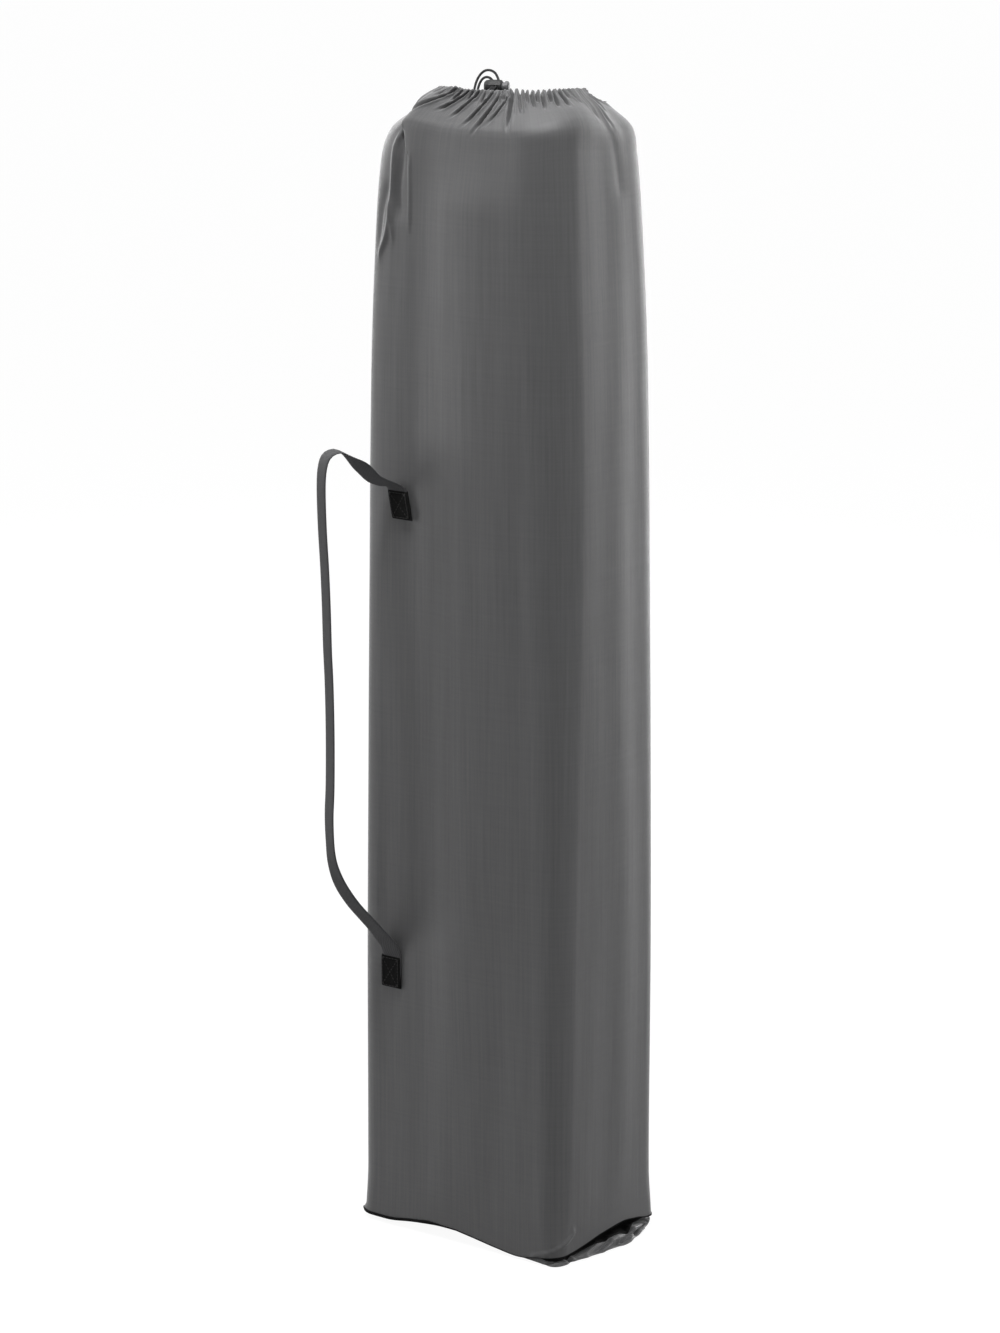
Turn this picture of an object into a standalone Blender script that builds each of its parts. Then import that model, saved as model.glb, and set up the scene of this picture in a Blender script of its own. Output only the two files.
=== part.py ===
# Folding camping cot packed upright in its drawstring carry bag.
# Metres, +Z up. The origin is the centre of the bag's base on the floor.
# X runs across the wide side of the bag, Y through its depth, and -Y is the front.

import math

import bmesh
import bpy
from mathutils import Matrix, Vector

# General clearances
GAP = 0.0003
CUT = 0.004
ROUND_STEPS = 18
RIVET_STEPS = 12

# Bag body: outer half sizes at the bottom, and how far it has drawn in at each height
BAG_HALF_X = 0.1085
BAG_HALF_Y = 0.0745
CLOTH = 0.0012
# Height, narrowing of the half width and of the half depth, and corner radius
BODY_SECTIONS = [
    (0.000, 0.0000, 0.0000, 0.0180), (0.050, 0.0000, 0.0000, 0.0205), (0.250, 0.0000, 0.0000, 0.0225),
    (0.435, 0.0000, 0.0000, 0.0275), (0.655, 0.0005, 0.0000, 0.0330), (0.757, 0.0017, 0.0003, 0.0340),
    (0.858, 0.0056, 0.0014, 0.0340), (0.930, 0.0094, 0.0030, 0.0355),
]
BAG_TOP_Z = BODY_SECTIONS[-1][0]

# Bottom seam: its height on the left, its rise on the right, and where the rise begins
SEAM_Z = 0.0040
SEAM_RISE = 0.0110
SEAM_RISE_START = 0.35
BASE_FLAT_INSET = 0.006
BASE_TURN_INSET = 0.0015
BASE_TURN_Z = 0.0008
BASE_TURN_SHARE = 0.3
BASE_EDGE = 0.0014

# Gathered mouth: shoulders from the body's top to the hem
# Front and back height, half width, half depth to the front and the back, corner and shift
SHOULDER_SECTIONS = [
    (0.950, 0.954, 0.0972, 0.0704, 0.0710, 0.0362, (0.0, 0.0)),
    (0.962, 0.967, 0.0945, 0.0697, 0.0706, 0.0370, (0.0008, 0.0)),
    (0.971, 0.977, 0.0890, 0.0662, 0.0695, 0.0390, (0.0020, 0.0010)),
    (0.981, 0.9835, 0.0820, 0.0604, 0.0662, 0.0410, (0.0030, 0.0015)),
]
RIM_FRONT_Z = 1.000
RIM_BACK_Z = 0.985
LEAN_START_Y = -0.012
RIM_HALF_X = 0.067
RIM_HALF_Y = 0.051
RIM_SHIFT = (0.0035, 0.0030)
RIM_CORNER = 0.048
HEM_DEPTH = 0.013
HEM_OUTER_DEPTH = 0.0098
HEM_SPREAD = 0.0015
HEM_ROUND = 0.0015
HEM_WIDTH = 0.0056
CORD_DIAMETER = 0.0022
CORD_SLACK = 0.0008

# Carry strap: webbing sewn flat on the front, near the left corner
WEBBING_WIDTH = 0.020
WEBBING_THICKNESS = 0.0016
PATCH_WIDTH = 0.021
PATCH_THICKNESS = 0.0018
PATCH_EDGE = 0.0004
# Each patch: its middle, its lower edge and its upper edge
UPPER_PATCH = (0.0508 - BAG_HALF_X, 0.636, 0.661)
LOWER_PATCH = (0.0384 - BAG_HALF_X, 0.2196, 0.2485)
STRAP_TURN = math.radians(30.0)
# Height and stand-off of the middle of the webbing, from the upper end to the lower
STRAP_ROUTE = [
    (0.6735, 0.0245), (0.682, 0.033), (0.691, 0.0435), (0.698, 0.054), (0.6985, 0.061),
    (0.694, 0.0675), (0.683, 0.0705), (0.665, 0.071), (0.633, 0.0695), (0.599, 0.067),
    (0.564, 0.065), (0.529, 0.0635), (0.495, 0.0615), (0.451, 0.060), (0.407, 0.0595),
    (0.380, 0.0600), (0.3535, 0.0585), (0.336, 0.0555), (0.318, 0.0485), (0.300, 0.0370),
    (0.2845, 0.0240),
]
# The same for the two ends, from each patch to the loop
UPPER_END_ROUTE = [
    (0.6616, 0.0), (0.6628, 0.0), (0.6650, 0.0035), (0.6675, 0.0110), (0.6700, 0.0180), (0.6731, 0.0239),
]
LOWER_END_ROUTE = [
    (0.2491, 0.0), (0.2515, 0.0), (0.2580, 0.0030), (0.2690, 0.0110), (0.2775, 0.0180), (0.2839, 0.0232),
]
STRAP_STEPS = 40
STRAP_END_STEPS = 12
END_TURN_RATE = 1.15

# Cord lock: a barrel with a sprung plunger, lying on the back shoulder
LOCK_CENTRE = Vector((-0.0605, 0.0617, 0.9905))
LOCK_TURN = math.radians(27.0)
LOCK_AXIS = Vector((math.cos(LOCK_TURN), math.sin(LOCK_TURN), 0.0))
CORD_DIRECTION = Vector((-LOCK_AXIS.y, LOCK_AXIS.x, 0.0))
LOCK_RADIUS = 0.0060
LOCK_BORE = 0.0043
LOCK_CLOSED_END = 0.0100
LOCK_OPEN_END = 0.0062
LOCK_FLOOR = 0.0014
STEM_RADIUS = 0.0040
STEM_END = 0.0040
BUTTON_RADIUS = 0.0050
BUTTON_LENGTH = 0.0032
PRESS_TRAVEL = 0.0024
SLOT_CLEARANCE = 0.0004
SLOT_HEIGHT = 0.0032
SPRING_WIRE = 0.0005
SPRING_RADIUS = 0.0030
SPRING_TURNS = 3.5
# Points of the cords' straight passage, before and behind the lock's centre
LOCK_PASSAGE = (-0.009, -0.004, 0.002, 0.0065)

# Eyelet of the hem, as an angle round the mouth's back left corner
EYELET_ANGLE = math.radians(135.0)
EYELET_DROP = 0.0065
EYELET_RADIUS = 0.0038
CORD_PITCH = 0.0026
# Outside the eyelet: distance out and rise of the cords on their way to the lock
CORD_RISE = [(0.0008, 0.0), (0.0050, 0.0016), (0.0105, 0.0062)]
# The drawcord ends this far short of its free ends' first points
CORD_JOIN = 0.0004
# Inside the hem the two cords lie this far in, and this much further apart
CORD_ENTRY = 0.0026
CORD_ENTRY_PITCH = 0.0031

# Routes of the drawcord's two free ends behind the lock: a low arch, then down the back
TAIL_ROUTES = {
    "cord_tail_right": [
        (-0.0644, 0.0720, 0.9907), (-0.0669, 0.0754, 0.9925), (-0.0700, 0.0779, 0.9960),
        (-0.0737, 0.0789, 1.0000), (-0.0783, 0.0791, 1.0020), (-0.0830, 0.0785, 1.0020),
        (-0.0870, 0.0777, 0.9998), (-0.0901, 0.0767, 0.9958), (-0.0922, 0.0756, 0.9905),
        (-0.0933, 0.0745, 0.9835), (-0.0934, 0.0730, 0.9750), (-0.0929, 0.0708, 0.9650),
        (-0.0920, 0.0688, 0.9550), (-0.0908, 0.0672, 0.9440), (-0.0898, 0.0668, 0.9320),
        (-0.0890, 0.0676, 0.9200), (-0.0883, 0.0698, 0.9100), (-0.0878, 0.0716, 0.9030),
    ],
    "cord_tail_left": [
        (-0.0670, 0.0710, 0.9903), (-0.0700, 0.0738, 0.9912), (-0.0733, 0.0753, 0.9935),
        (-0.0770, 0.0756, 0.9960), (-0.0808, 0.0753, 0.9965), (-0.0842, 0.0747, 0.9948),
        (-0.0867, 0.0740, 0.9910), (-0.0882, 0.0730, 0.9850), (-0.0887, 0.0722, 0.9770),
        (-0.0884, 0.0712, 0.9680), (-0.0876, 0.0694, 0.9580), (-0.0868, 0.0676, 0.9470),
        (-0.0862, 0.0668, 0.9360), (-0.0856, 0.0676, 0.9250), (-0.0851, 0.0696, 0.9140),
        (-0.0849, 0.0716, 0.9035),
    ],
}
TAIL_SIDES = {"cord_tail_right": 1, "cord_tail_left": -1}
TAIL_POINTS = 34
KNOT_CENTRE = (-0.0864, 0.0732, 0.8975)
KNOT_RADIUS = 0.0046

# Side rails: each of the two long rails is two half rails, folded together
RAIL_RADIUS = 0.0100
RAIL_WALL = 0.0012
RAIL_LENGTH = 0.905
RAIL_X = 0.078
RAIL_Y = 0.044
RAIL_BOTTOM_Z = 0.026
CAP_FLANGE = 0.0035
CAP_PLUG = 0.015
CAP_LIP = 0.0004
CAP_TAPER = 0.0012

# Fold channels: steel channels with a pin for each half rail
CHANNEL_WALL = 0.0018
CHANNEL_FLOOR_Z = 0.0210
CHANNEL_TOP_Z = 0.0520
CHANNEL_OVERHANG = 0.0105
FOLD_PIN_Z = 0.0400
PIN_RADIUS = 0.0030
PIN_HEAD_RADIUS = 0.0052
PIN_HEAD = 0.0014

# Legs: flat oval tubes, three crossed pairs
LEG_WIDTH = 0.0220
LEG_DEPTH = 0.0104
LEG_WALL = 0.0012
LEG_REACH = 0.700
LEG_STUB = 0.013
LEG_PIVOT_Y = 0.0240
END_PIVOT_Z = 0.872
MIDDLE_PIVOT_Z = 0.078
FOOT_HEIGHT = 0.012
FOOT_PLUG = 0.014

# Leg brackets: folded steel strip round each rail, with a lug for the leg's pin
PLATE = 0.0018
BRACKET_HEIGHT = 0.030
BRACKET_INNER_X = 0.0598
BRACKET_OVERLAP = 0.006
LUG_END_Y = 0.0130
MIDDLE_STRIP = 0.020
MIDDLE_STRIP_DROP = 0.006
MIDDLE_STRIP_RISE = 0.012
PLATE_CUT = 0.008

# Bed fabric: folded flat on both outer sides and under the fold channels
FABRIC_CORNER = 0.0140
# The folds' inner edges are rounded, which also keeps them clear of the cord lock on the way out
FABRIC_INNER_CORNER = 0.0080
FABRIC_OUTER_X = 0.0920
FABRIC_INNER_X = 0.0660
FABRIC_HALF_Y = 0.0562
FABRIC_TOP_Z = 0.922
FABRIC_SOFT_EDGE = 0.006
FABRIC_LEDGE = 0.002
FABRIC_TRIM = 0.002
SLEEVE_CLEARANCE = 0.0004
# Clearance of the cut-outs round the brackets: inner side, above and below, and outer side
WINDOW_INNER = 0.0016
WINDOW_ENDS = 0.004
WINDOW_OUTER = 0.0085

# End bars: the two stretchers of the bed, stored in pockets of the folded fabric
BAR_RADIUS = 0.0095
BAR_WALL = 0.0012
BAR_LENGTH = 0.620
BAR_TOP_Z = 0.9260


def empty_scene():
    """Remove everything that the scene holds."""
    for thing in list(bpy.data.objects):
        bpy.data.objects.remove(thing, do_unlink=True)


empty_scene()
PARTS = bpy.data.collections.new("packed_camping_cot")
CUTTERS = bpy.data.collections.new("cutters")
bpy.context.scene.collection.children.link(PARTS)
bpy.context.scene.collection.children.link(CUTTERS)

FINISHES = {
    "bag_cloth": ((0.105, 0.105, 0.107), 0.55, 0.0),
    "webbing": ((0.055, 0.055, 0.057), 0.8, 0.0),
    "patch": ((0.006, 0.006, 0.006), 0.9, 0.0),
    "cord": ((0.01, 0.01, 0.011), 0.7, 0.0),
    "black_plastic": ((0.012, 0.012, 0.013), 0.35, 0.0),
    "grey_plastic": ((0.20, 0.20, 0.20), 0.4, 0.0),
    "spring_wire": ((0.55, 0.55, 0.55), 0.3, 1.0),
    "powder_coat": ((0.05, 0.05, 0.053), 0.45, 0.0),
    "zinc": ((0.55, 0.56, 0.58), 0.35, 1.0),
    "bed_fabric": ((0.03, 0.045, 0.07), 0.85, 0.0),
}


def material_for(name, finish):
    """One Principled material for one part."""
    colour, roughness, metallic = FINISHES[finish]
    made = bpy.data.materials.new(name + "_" + finish)
    made.use_nodes = True
    shader = made.node_tree.nodes["Principled BSDF"]
    shader.inputs["Base Color"].default_value = (*colour, 1.0)
    shader.inputs["Roughness"].default_value = roughness
    shader.inputs["Metallic"].default_value = metallic
    made.diffuse_color = (*colour, 1.0)
    return made


def add_part(name, mesh, finish, smooth=True):
    """Put a mesh in the parts collection with its own material."""
    part = bpy.data.objects.new(name, mesh)
    PARTS.objects.link(part)
    mesh.materials.clear()
    mesh.materials.append(material_for(name, finish))
    if smooth:
        mesh.shade_smooth()
        mesh.set_sharp_from_angle(angle=math.radians(35))
    return part


def add_cutter(name, mesh):
    """Put a mesh in the cutters collection, hidden from renders."""
    cutter = bpy.data.objects.new(name, mesh)
    CUTTERS.objects.link(cutter)
    cutter.hide_render = True
    cutter.display_type = "WIRE"
    return cutter


def cut(part, cutter, operation="DIFFERENCE"):
    """Add an exact Boolean between a part and a cutter."""
    step = part.modifiers.new(cutter.name, "BOOLEAN")
    step.object = cutter
    step.operation = operation
    step.solver = "EXACT"


def along(direction):
    """Rotation that turns +Z onto a direction."""
    return Vector(direction).normalized().to_track_quat("Z", "Y").to_matrix().to_4x4()


def place(part, location, direction=(0.0, 0.0, 1.0)):
    """Set a part's local +Z along a direction at a location."""
    part.matrix_world = Matrix.Translation(location) @ along(direction)
    return part


def cylinder_mesh(name, radius, length, steps=ROUND_STEPS):
    """A solid cylinder along Z with its middle at the origin."""
    mesh = bpy.data.meshes.new(name)
    work = bmesh.new()
    bmesh.ops.create_cone(work, cap_ends=True, cap_tris=False, segments=steps,
                          radius1=radius, radius2=radius, depth=length)
    work.to_mesh(mesh)
    work.free()
    return mesh


def box_mesh(name, low, high):
    """A solid box between two corners."""
    mesh = bpy.data.meshes.new(name)
    work = bmesh.new()
    size = [top - bottom for bottom, top in zip(low, high)]
    middle = [(top + bottom) / 2 for bottom, top in zip(low, high)]
    bmesh.ops.create_cube(work, size=1.0, matrix=Matrix.Translation(middle) @ Matrix.Diagonal((*size, 1.0)))
    work.to_mesh(mesh)
    work.free()
    return mesh


def turned(name, profile, finish, steps=ROUND_STEPS, closed=True):
    """Turn a profile of (radius, height) points about Z with a Screw modifier.

    The profile runs down its outer side, from top to bottom.
    """
    mesh = bpy.data.meshes.new(name)
    points = [(radius, 0.0, height) for radius, height in profile]
    count = len(points)
    edges = [(index, index + 1) for index in range(count - 1)]
    if closed:
        edges.append((count - 1, 0))
    mesh.from_pydata(points, edges, [])
    part = add_part(name, mesh, finish, smooth=False)
    screw = part.modifiers.new("turn", "SCREW")
    screw.axis = "Z"
    screw.steps = steps
    screw.render_steps = steps
    screw.use_smooth_shade = True
    screw.use_merge_vertices = True
    screw.merge_threshold = 0.00001
    return part


def tube_profile(radius, wall, low, high):
    """Section of a round tube between two heights."""
    return [(radius, high), (radius, low), (radius - wall, low), (radius - wall, high)]


def arc(centre, radius, start, end, steps):
    """Points along an arc, with angles in degrees."""
    points = []
    for index in range(steps + 1):
        angle = math.radians(start + (end - start) * index / steps)
        points.append((centre[0] + radius * math.cos(angle), centre[1] + radius * math.sin(angle)))
    return points


def stadium(width, depth, steps=6):
    """Flat oval outline, its long side along X."""
    reach = (width - depth) / 2
    return arc((reach, 0.0), depth / 2, -90, 90, steps) + arc((-reach, 0.0), depth / 2, 90, 270, steps)


def extruded_mesh(name, outlines, length):
    """Extrude closed outlines in X and Y by a length along Z, as one welded mesh."""
    curve = bpy.data.curves.new(name + "_outline", "CURVE")
    curve.dimensions = "2D"
    curve.fill_mode = "BOTH"
    curve.extrude = length / 2
    for outline in outlines:
        spline = curve.splines.new("POLY")
        spline.points.add(len(outline) - 1)
        for point, (x, y) in zip(spline.points, outline):
            point.co = (x, y, 0.0, 1.0)
        spline.use_cyclic_u = True
    guide = bpy.data.objects.new(name + "_outline", curve)
    CUTTERS.objects.link(guide)
    bpy.context.view_layer.update()
    return welded_mesh(name, guide)


def welded_mesh(name, guide):
    """Turn a curve object into a mesh whose caps are welded, and remove the curve."""
    graph = bpy.context.evaluated_depsgraph_get()
    mesh = bpy.data.meshes.new_from_object(guide.evaluated_get(graph))
    mesh.name = name
    work = bmesh.new()
    work.from_mesh(mesh)
    bmesh.ops.remove_doubles(work, verts=work.verts, dist=0.000002)
    bmesh.ops.recalc_face_normals(work, faces=work.faces)
    work.to_mesh(mesh)
    work.free()
    bpy.data.objects.remove(guide, do_unlink=True)
    return mesh


def cord(name, points, diameter, finish, cyclic=False):
    """A round cord along points, as a polyline curve with filled caps."""
    curve = bpy.data.curves.new(name, "CURVE")
    curve.dimensions = "3D"
    curve.bevel_depth = diameter / 2
    curve.bevel_resolution = 2
    curve.use_fill_caps = True
    spline = curve.splines.new("POLY")
    spline.points.add(len(points) - 1)
    for point, place_at in zip(spline.points, points):
        point.co = (*place_at, 1.0)
    spline.use_cyclic_u = cyclic
    part = bpy.data.objects.new(name, curve)
    PARTS.objects.link(part)
    curve.materials.append(material_for(name, finish))
    return part


def smooth_route(points, count):
    """Read evenly spaced points from a smooth curve through the route's own points."""
    dense = []
    steps = 12
    padded = [2 * Vector(points[0]) - Vector(points[1])] + [Vector(p) for p in points]
    padded.append(2 * Vector(points[-1]) - Vector(points[-2]))
    for index in range(1, len(padded) - 2):
        before, start, end, after = padded[index - 1:index + 3]
        for step in range(steps):
            t = step / steps
            dense.append(0.5 * (2 * start + (end - before) * t
                                + (2 * before - 5 * start + 4 * end - after) * t * t
                                + (3 * start - before - 3 * end + after) * t ** 3))
    dense.append(padded[-2])
    lengths = [0.0]
    for first, second in zip(dense, dense[1:]):
        lengths.append(lengths[-1] + (second - first).length)
    result = []
    place_in = 0
    for index in range(count):
        target = lengths[-1] * index / (count - 1)
        while place_in < len(dense) - 2 and lengths[place_in + 1] < target:
            place_in += 1
        span = lengths[place_in + 1] - lengths[place_in]
        share = (target - lengths[place_in]) / span if span else 0.0
        result.append(dense[place_in].lerp(dense[place_in + 1], share))
    return result


# Bag cloth sections

CORNER_STEPS = 6
SIDE_STEPS = 3


def section(half_x, half_front, half_back, corner, shift=(0.0, 0.0)):
    """Rounded rectangle, from the middle of the right side anticlockwise, as (x, y) points."""
    points = []
    corners = (
        (half_x - corner, half_back - corner, 0),
        (-half_x + corner, half_back - corner, 90),
        (-half_x + corner, -half_front + corner, 180),
        (half_x - corner, -half_front + corner, 270),
    )
    for index, (x, y, start) in enumerate(corners):
        round_part = arc((x, y), corner, start, start + 90, CORNER_STEPS)
        points += round_part
        following = corners[(index + 1) % 4]
        next_start = arc(following[:2], corner, following[2], following[2], 1)[0]
        for step in range(1, SIDE_STEPS):
            share = step / SIDE_STEPS
            points.append((round_part[-1][0] + (next_start[0] - round_part[-1][0]) * share,
                           round_part[-1][1] + (next_start[1] - round_part[-1][1]) * share))
    return [(x + shift[0], y + shift[1]) for x, y in points]


def loft(name, rings, finish, thickness, cap_first=False):
    """Skin rings of equal point counts as an open surface, thickened inwards."""
    mesh = bpy.data.meshes.new(name)
    work = bmesh.new()
    rows = [[work.verts.new(point) for point in ring] for ring in rings]
    count = len(rows[0])
    for lower, upper in zip(rows, rows[1:]):
        for index in range(count):
            following = (index + 1) % count
            work.faces.new((lower[index], lower[following], upper[following], upper[index]))
    if cap_first:
        work.faces.new(list(reversed(rows[0])))
    work.to_mesh(mesh)
    work.free()
    part = add_part(name, mesh, finish)
    skin = part.modifiers.new("cloth", "SOLIDIFY")
    skin.thickness = thickness
    skin.offset = -1.0
    skin.use_even_offset = True
    return part


def seam_height(x):
    """Height of the bottom seam: it rides up on the right, where the cloth is not pulled down."""
    share = max(0.0, (x / BAG_HALF_X - SEAM_RISE_START) / (1.0 - SEAM_RISE_START))
    return SEAM_Z + SEAM_RISE * share * share * (3 - 2 * share)


def body_ring(z):
    """Half sizes and corner radius of the bag at one of the heights of its sections."""
    for height, narrower, shallower, corner in BODY_SECTIONS:
        if height == z:
            return BAG_HALF_X - narrower, BAG_HALF_Y - shallower, corner
    raise ValueError("no section of the bag at this height")


def build_bag_body():
    """Main tube of bag cloth, from the bottom seam to the start of the gathers."""
    rings = []
    for z in [section_row[0] for section_row in BODY_SECTIONS]:
        half_x, half_y, corner = body_ring(z)
        points = section(half_x, half_y, half_y, corner)
        rings.append([(x, y, max(z, seam_height(x))) for x, y in points])
    return loft("bag_body", rings, "bag_cloth", CLOTH)


def build_bag_base():
    """Bottom panel: flat on the floor, turned up to the seam all round."""
    half_x, half_y, corner = body_ring(0.0)
    flat, turned_up = BASE_FLAT_INSET, BASE_TURN_INSET
    floor = section(half_x - flat, half_y - flat, half_y - flat, corner - flat / 2)
    turn = section(half_x - turned_up, half_y - turned_up, half_y - turned_up, corner)
    edge = section(half_x, half_y, half_y, corner)
    rings = [
        [(x, y, 0.0) for x, y in floor],
        [(x, y, BASE_TURN_Z + BASE_TURN_SHARE * (seam_height(x) - SEAM_Z)) for x, y in turn],
        [(x, y, seam_height(x) - GAP - BASE_EDGE) for x, y in edge],
        [(x, y, seam_height(x) - GAP) for x, y in edge],
    ]
    return loft("bag_base", rings, "bag_cloth", CLOTH, cap_first=True)


def rim_height(y):
    """Height of the mouth's rim: level at the front, and lower towards the back."""
    share = (y - LEAN_START_Y) / (RIM_SHIFT[1] + RIM_HALF_Y - LEAN_START_Y)
    share = min(1.0, max(0.0, share))
    return RIM_FRONT_Z + (RIM_BACK_Z - RIM_FRONT_Z) * share * share * (3 - 2 * share)


def rim_section(inward):
    """Outline of the mouth, a distance inside the outer face of the hem."""
    half_x = RIM_HALF_X - inward
    half_y = RIM_HALF_Y - inward
    return section(half_x, half_y, half_y, RIM_CORNER - inward, RIM_SHIFT)


def eyelet_outward():
    """Level direction in which the cord leaves the eyelet."""
    return Vector((math.cos(EYELET_ANGLE), math.sin(EYELET_ANGLE), 0.0))


def eyelet_point(outward, aside=0.0):
    """A point at the eyelet, a distance outside the hem's outer face and to one side."""
    out = eyelet_outward()
    corner = Vector((RIM_SHIFT[0] - RIM_HALF_X + RIM_CORNER, RIM_SHIFT[1] + RIM_HALF_Y - RIM_CORNER, 0.0))
    point = corner + out * (RIM_CORNER + outward) + Vector((out.y, -out.x, 0.0)) * aside
    point.z = rim_height(point.y) - EYELET_DROP
    return point


def build_mouth_collar():
    """Gathered shoulders of the bag, ending in the folded hem that holds the drawcord."""
    half_x, half_y, corner = body_ring(BAG_TOP_Z)
    start = (BAG_TOP_Z + GAP, BAG_TOP_Z + GAP, half_x, half_y, half_y, corner, (0.0, 0.0))
    rings = []
    for front_z, back_z, ring_x, front, back, radius, shift in [start] + SHOULDER_SECTIONS:
        points = section(ring_x, front, back, radius, shift)
        spread = front + back
        rings.append([(x, y, front_z + (back_z - front_z) * (y + front) / spread) for x, y in points])
    outer = rim_section(0.0)
    inner = rim_section(HEM_WIDTH)
    rings.append([(x, y, rim_height(y) - HEM_OUTER_DEPTH) for x, y in rim_section(-HEM_SPREAD)])
    rings.append([(x, y, rim_height(y) - HEM_ROUND) for x, y in outer])
    rings.append([(x, y, rim_height(y)) for x, y in rim_section(HEM_WIDTH * 0.25)])
    rings.append([(x, y, rim_height(y)) for x, y in rim_section(HEM_WIDTH * 0.75)])
    rings.append([(x, y, rim_height(y) - HEM_ROUND) for x, y in inner])
    rings.append([(x, y, rim_height(y) - HEM_DEPTH) for x, y in inner])
    collar = loft("mouth_collar", rings, "bag_cloth", CLOTH)
    eyelet = add_cutter("eyelet_cutter", cylinder_mesh("eyelet_cutter", EYELET_RADIUS, CUT, 12))
    place(eyelet, eyelet_point(-CLOTH / 2), eyelet_outward())
    cut(collar, eyelet)
    return collar


# Drawcord: held by the hem, with both ends coming out at the eyelet

def build_drawcord():
    """The stretch of cord that runs inside the hem, all the way round."""
    middle = rim_section(HEM_WIDTH / 2)
    start = 0
    best = None
    mouth = eyelet_point(0.0)
    for index, (x, y) in enumerate(middle):
        distance = (Vector((x, y, 0.0)) - Vector((mouth.x, mouth.y, 0.0))).length
        if best is None or distance < best:
            best = distance
            start = index
    count = len(middle)
    loop = [middle[(start + 1 + index) % count] for index in range(count - 1)]
    depth = CLOTH + CORD_DIAMETER / 2 + CORD_SLACK
    inside = [(x, y, rim_height(y) - depth) for x, y in loop]
    outside = CORD_RISE[0][0] - CORD_JOIN
    left = [eyelet_point(outside, -CORD_PITCH / 2), eyelet_point(-CORD_ENTRY, -CORD_ENTRY_PITCH / 2)]
    right = [eyelet_point(-CORD_ENTRY, CORD_ENTRY_PITCH / 2), eyelet_point(outside, CORD_PITCH / 2)]
    return cord("drawcord", left + inside + right, CORD_DIAMETER, "cord")


def build_cord_tails():
    """The two free ends: out of the eyelet, straight through the lock, over and down to the knot."""
    for name, behind_lock in TAIL_ROUTES.items():
        aside = TAIL_SIDES[name] * CORD_PITCH / 2
        before_lock = [eyelet_point(outward, aside) + Vector((0.0, 0.0, rise)) for outward, rise in CORD_RISE]
        in_lock = [LOCK_CENTRE + CORD_DIRECTION * reach + LOCK_AXIS * aside for reach in LOCK_PASSAGE]
        route = before_lock + in_lock + [Vector(point) for point in behind_lock]
        cord(name, smooth_route(route, TAIL_POINTS), CORD_DIAMETER, "cord")
    mesh = bpy.data.meshes.new("cord_knot")
    work = bmesh.new()
    bmesh.ops.create_uvsphere(work, u_segments=14, v_segments=9, radius=KNOT_RADIUS)
    work.to_mesh(mesh)
    work.free()
    knot = add_part("cord_knot", mesh, "cord")
    knot.location = KNOT_CENTRE


# Cord lock

def lock_frame(part):
    """Set a lock piece's local Z on the barrel's axis, and its local X on the cords."""
    up = LOCK_AXIS.cross(CORD_DIRECTION)
    turn = Matrix((CORD_DIRECTION, -up, LOCK_AXIS)).transposed().to_4x4()
    part.matrix_world = Matrix.Translation(LOCK_CENTRE) @ turn
    return part


def slot_cutter(name, length, centre):
    """Cutter for the cord slot across a lock piece, flat and along the barrel's axis."""
    half = SLOT_HEIGHT / 2
    low = (-0.010, -half, centre - length / 2)
    high = (0.010, half, centre + length / 2)
    return lock_frame(add_cutter(name, box_mesh(name, low, high)))


def build_cord_lock():
    """Barrel, plunger with its button, and the spring between them."""
    cords = CORD_PITCH + CORD_DIAMETER + 2 * SLOT_CLEARANCE
    barrel = turned("lock_barrel", [
        (0.0, LOCK_FLOOR - LOCK_CLOSED_END), (LOCK_BORE, LOCK_FLOOR - LOCK_CLOSED_END),
        (LOCK_BORE, LOCK_OPEN_END), (LOCK_RADIUS - 0.0008, LOCK_OPEN_END),
        (LOCK_RADIUS - 0.0002, LOCK_OPEN_END - 0.0010), (LOCK_RADIUS, 0.0020),
        (LOCK_RADIUS, -0.0050), (LOCK_RADIUS - 0.0005, -0.0078),
        (LOCK_RADIUS - 0.0018, -0.0093), (0.0, -LOCK_CLOSED_END),
    ], "black_plastic", steps=ROUND_STEPS, closed=False)
    lock_frame(barrel)
    cut(barrel, slot_cutter("barrel_slot", cords, 0.0))
    button_start = LOCK_OPEN_END + PRESS_TRAVEL + GAP
    plunger = turned("lock_plunger", [
        (0.0, button_start + BUTTON_LENGTH), (BUTTON_RADIUS * 0.72, button_start + BUTTON_LENGTH),
        (BUTTON_RADIUS, button_start + BUTTON_LENGTH * 0.65), (BUTTON_RADIUS, button_start),
        (STEM_RADIUS, button_start), (STEM_RADIUS, -STEM_END), (0.0, -STEM_END),
    ], "grey_plastic", steps=ROUND_STEPS, closed=False)
    lock_frame(plunger)
    cut(plunger, slot_cutter("plunger_slot", cords + PRESS_TRAVEL, PRESS_TRAVEL / 2))
    bottom = LOCK_FLOOR - LOCK_CLOSED_END + GAP + SPRING_WIRE / 2
    top = -STEM_END - GAP - SPRING_WIRE / 2
    points = []
    per_turn = 10
    count = int(SPRING_TURNS * per_turn)
    for index in range(count + 1):
        angle = 2 * math.pi * index / per_turn
        height = bottom + (top - bottom) * index / count
        points.append((SPRING_RADIUS * math.cos(angle), SPRING_RADIUS * math.sin(angle), height))
    lock_frame(cord("lock_spring", points, SPRING_WIRE, "spring_wire"))


# Carry strap

def strap_base(z):
    """Point on the sewn line of the strap, on the bag's front face, at a height."""
    share = (z - LOWER_PATCH[1]) / (UPPER_PATCH[2] - LOWER_PATCH[1])
    x = LOWER_PATCH[0] + (UPPER_PATCH[0] - LOWER_PATCH[0]) * share
    return Vector((x, -BAG_HALF_Y - GAP - WEBBING_THICKNESS / 2, z))


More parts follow.
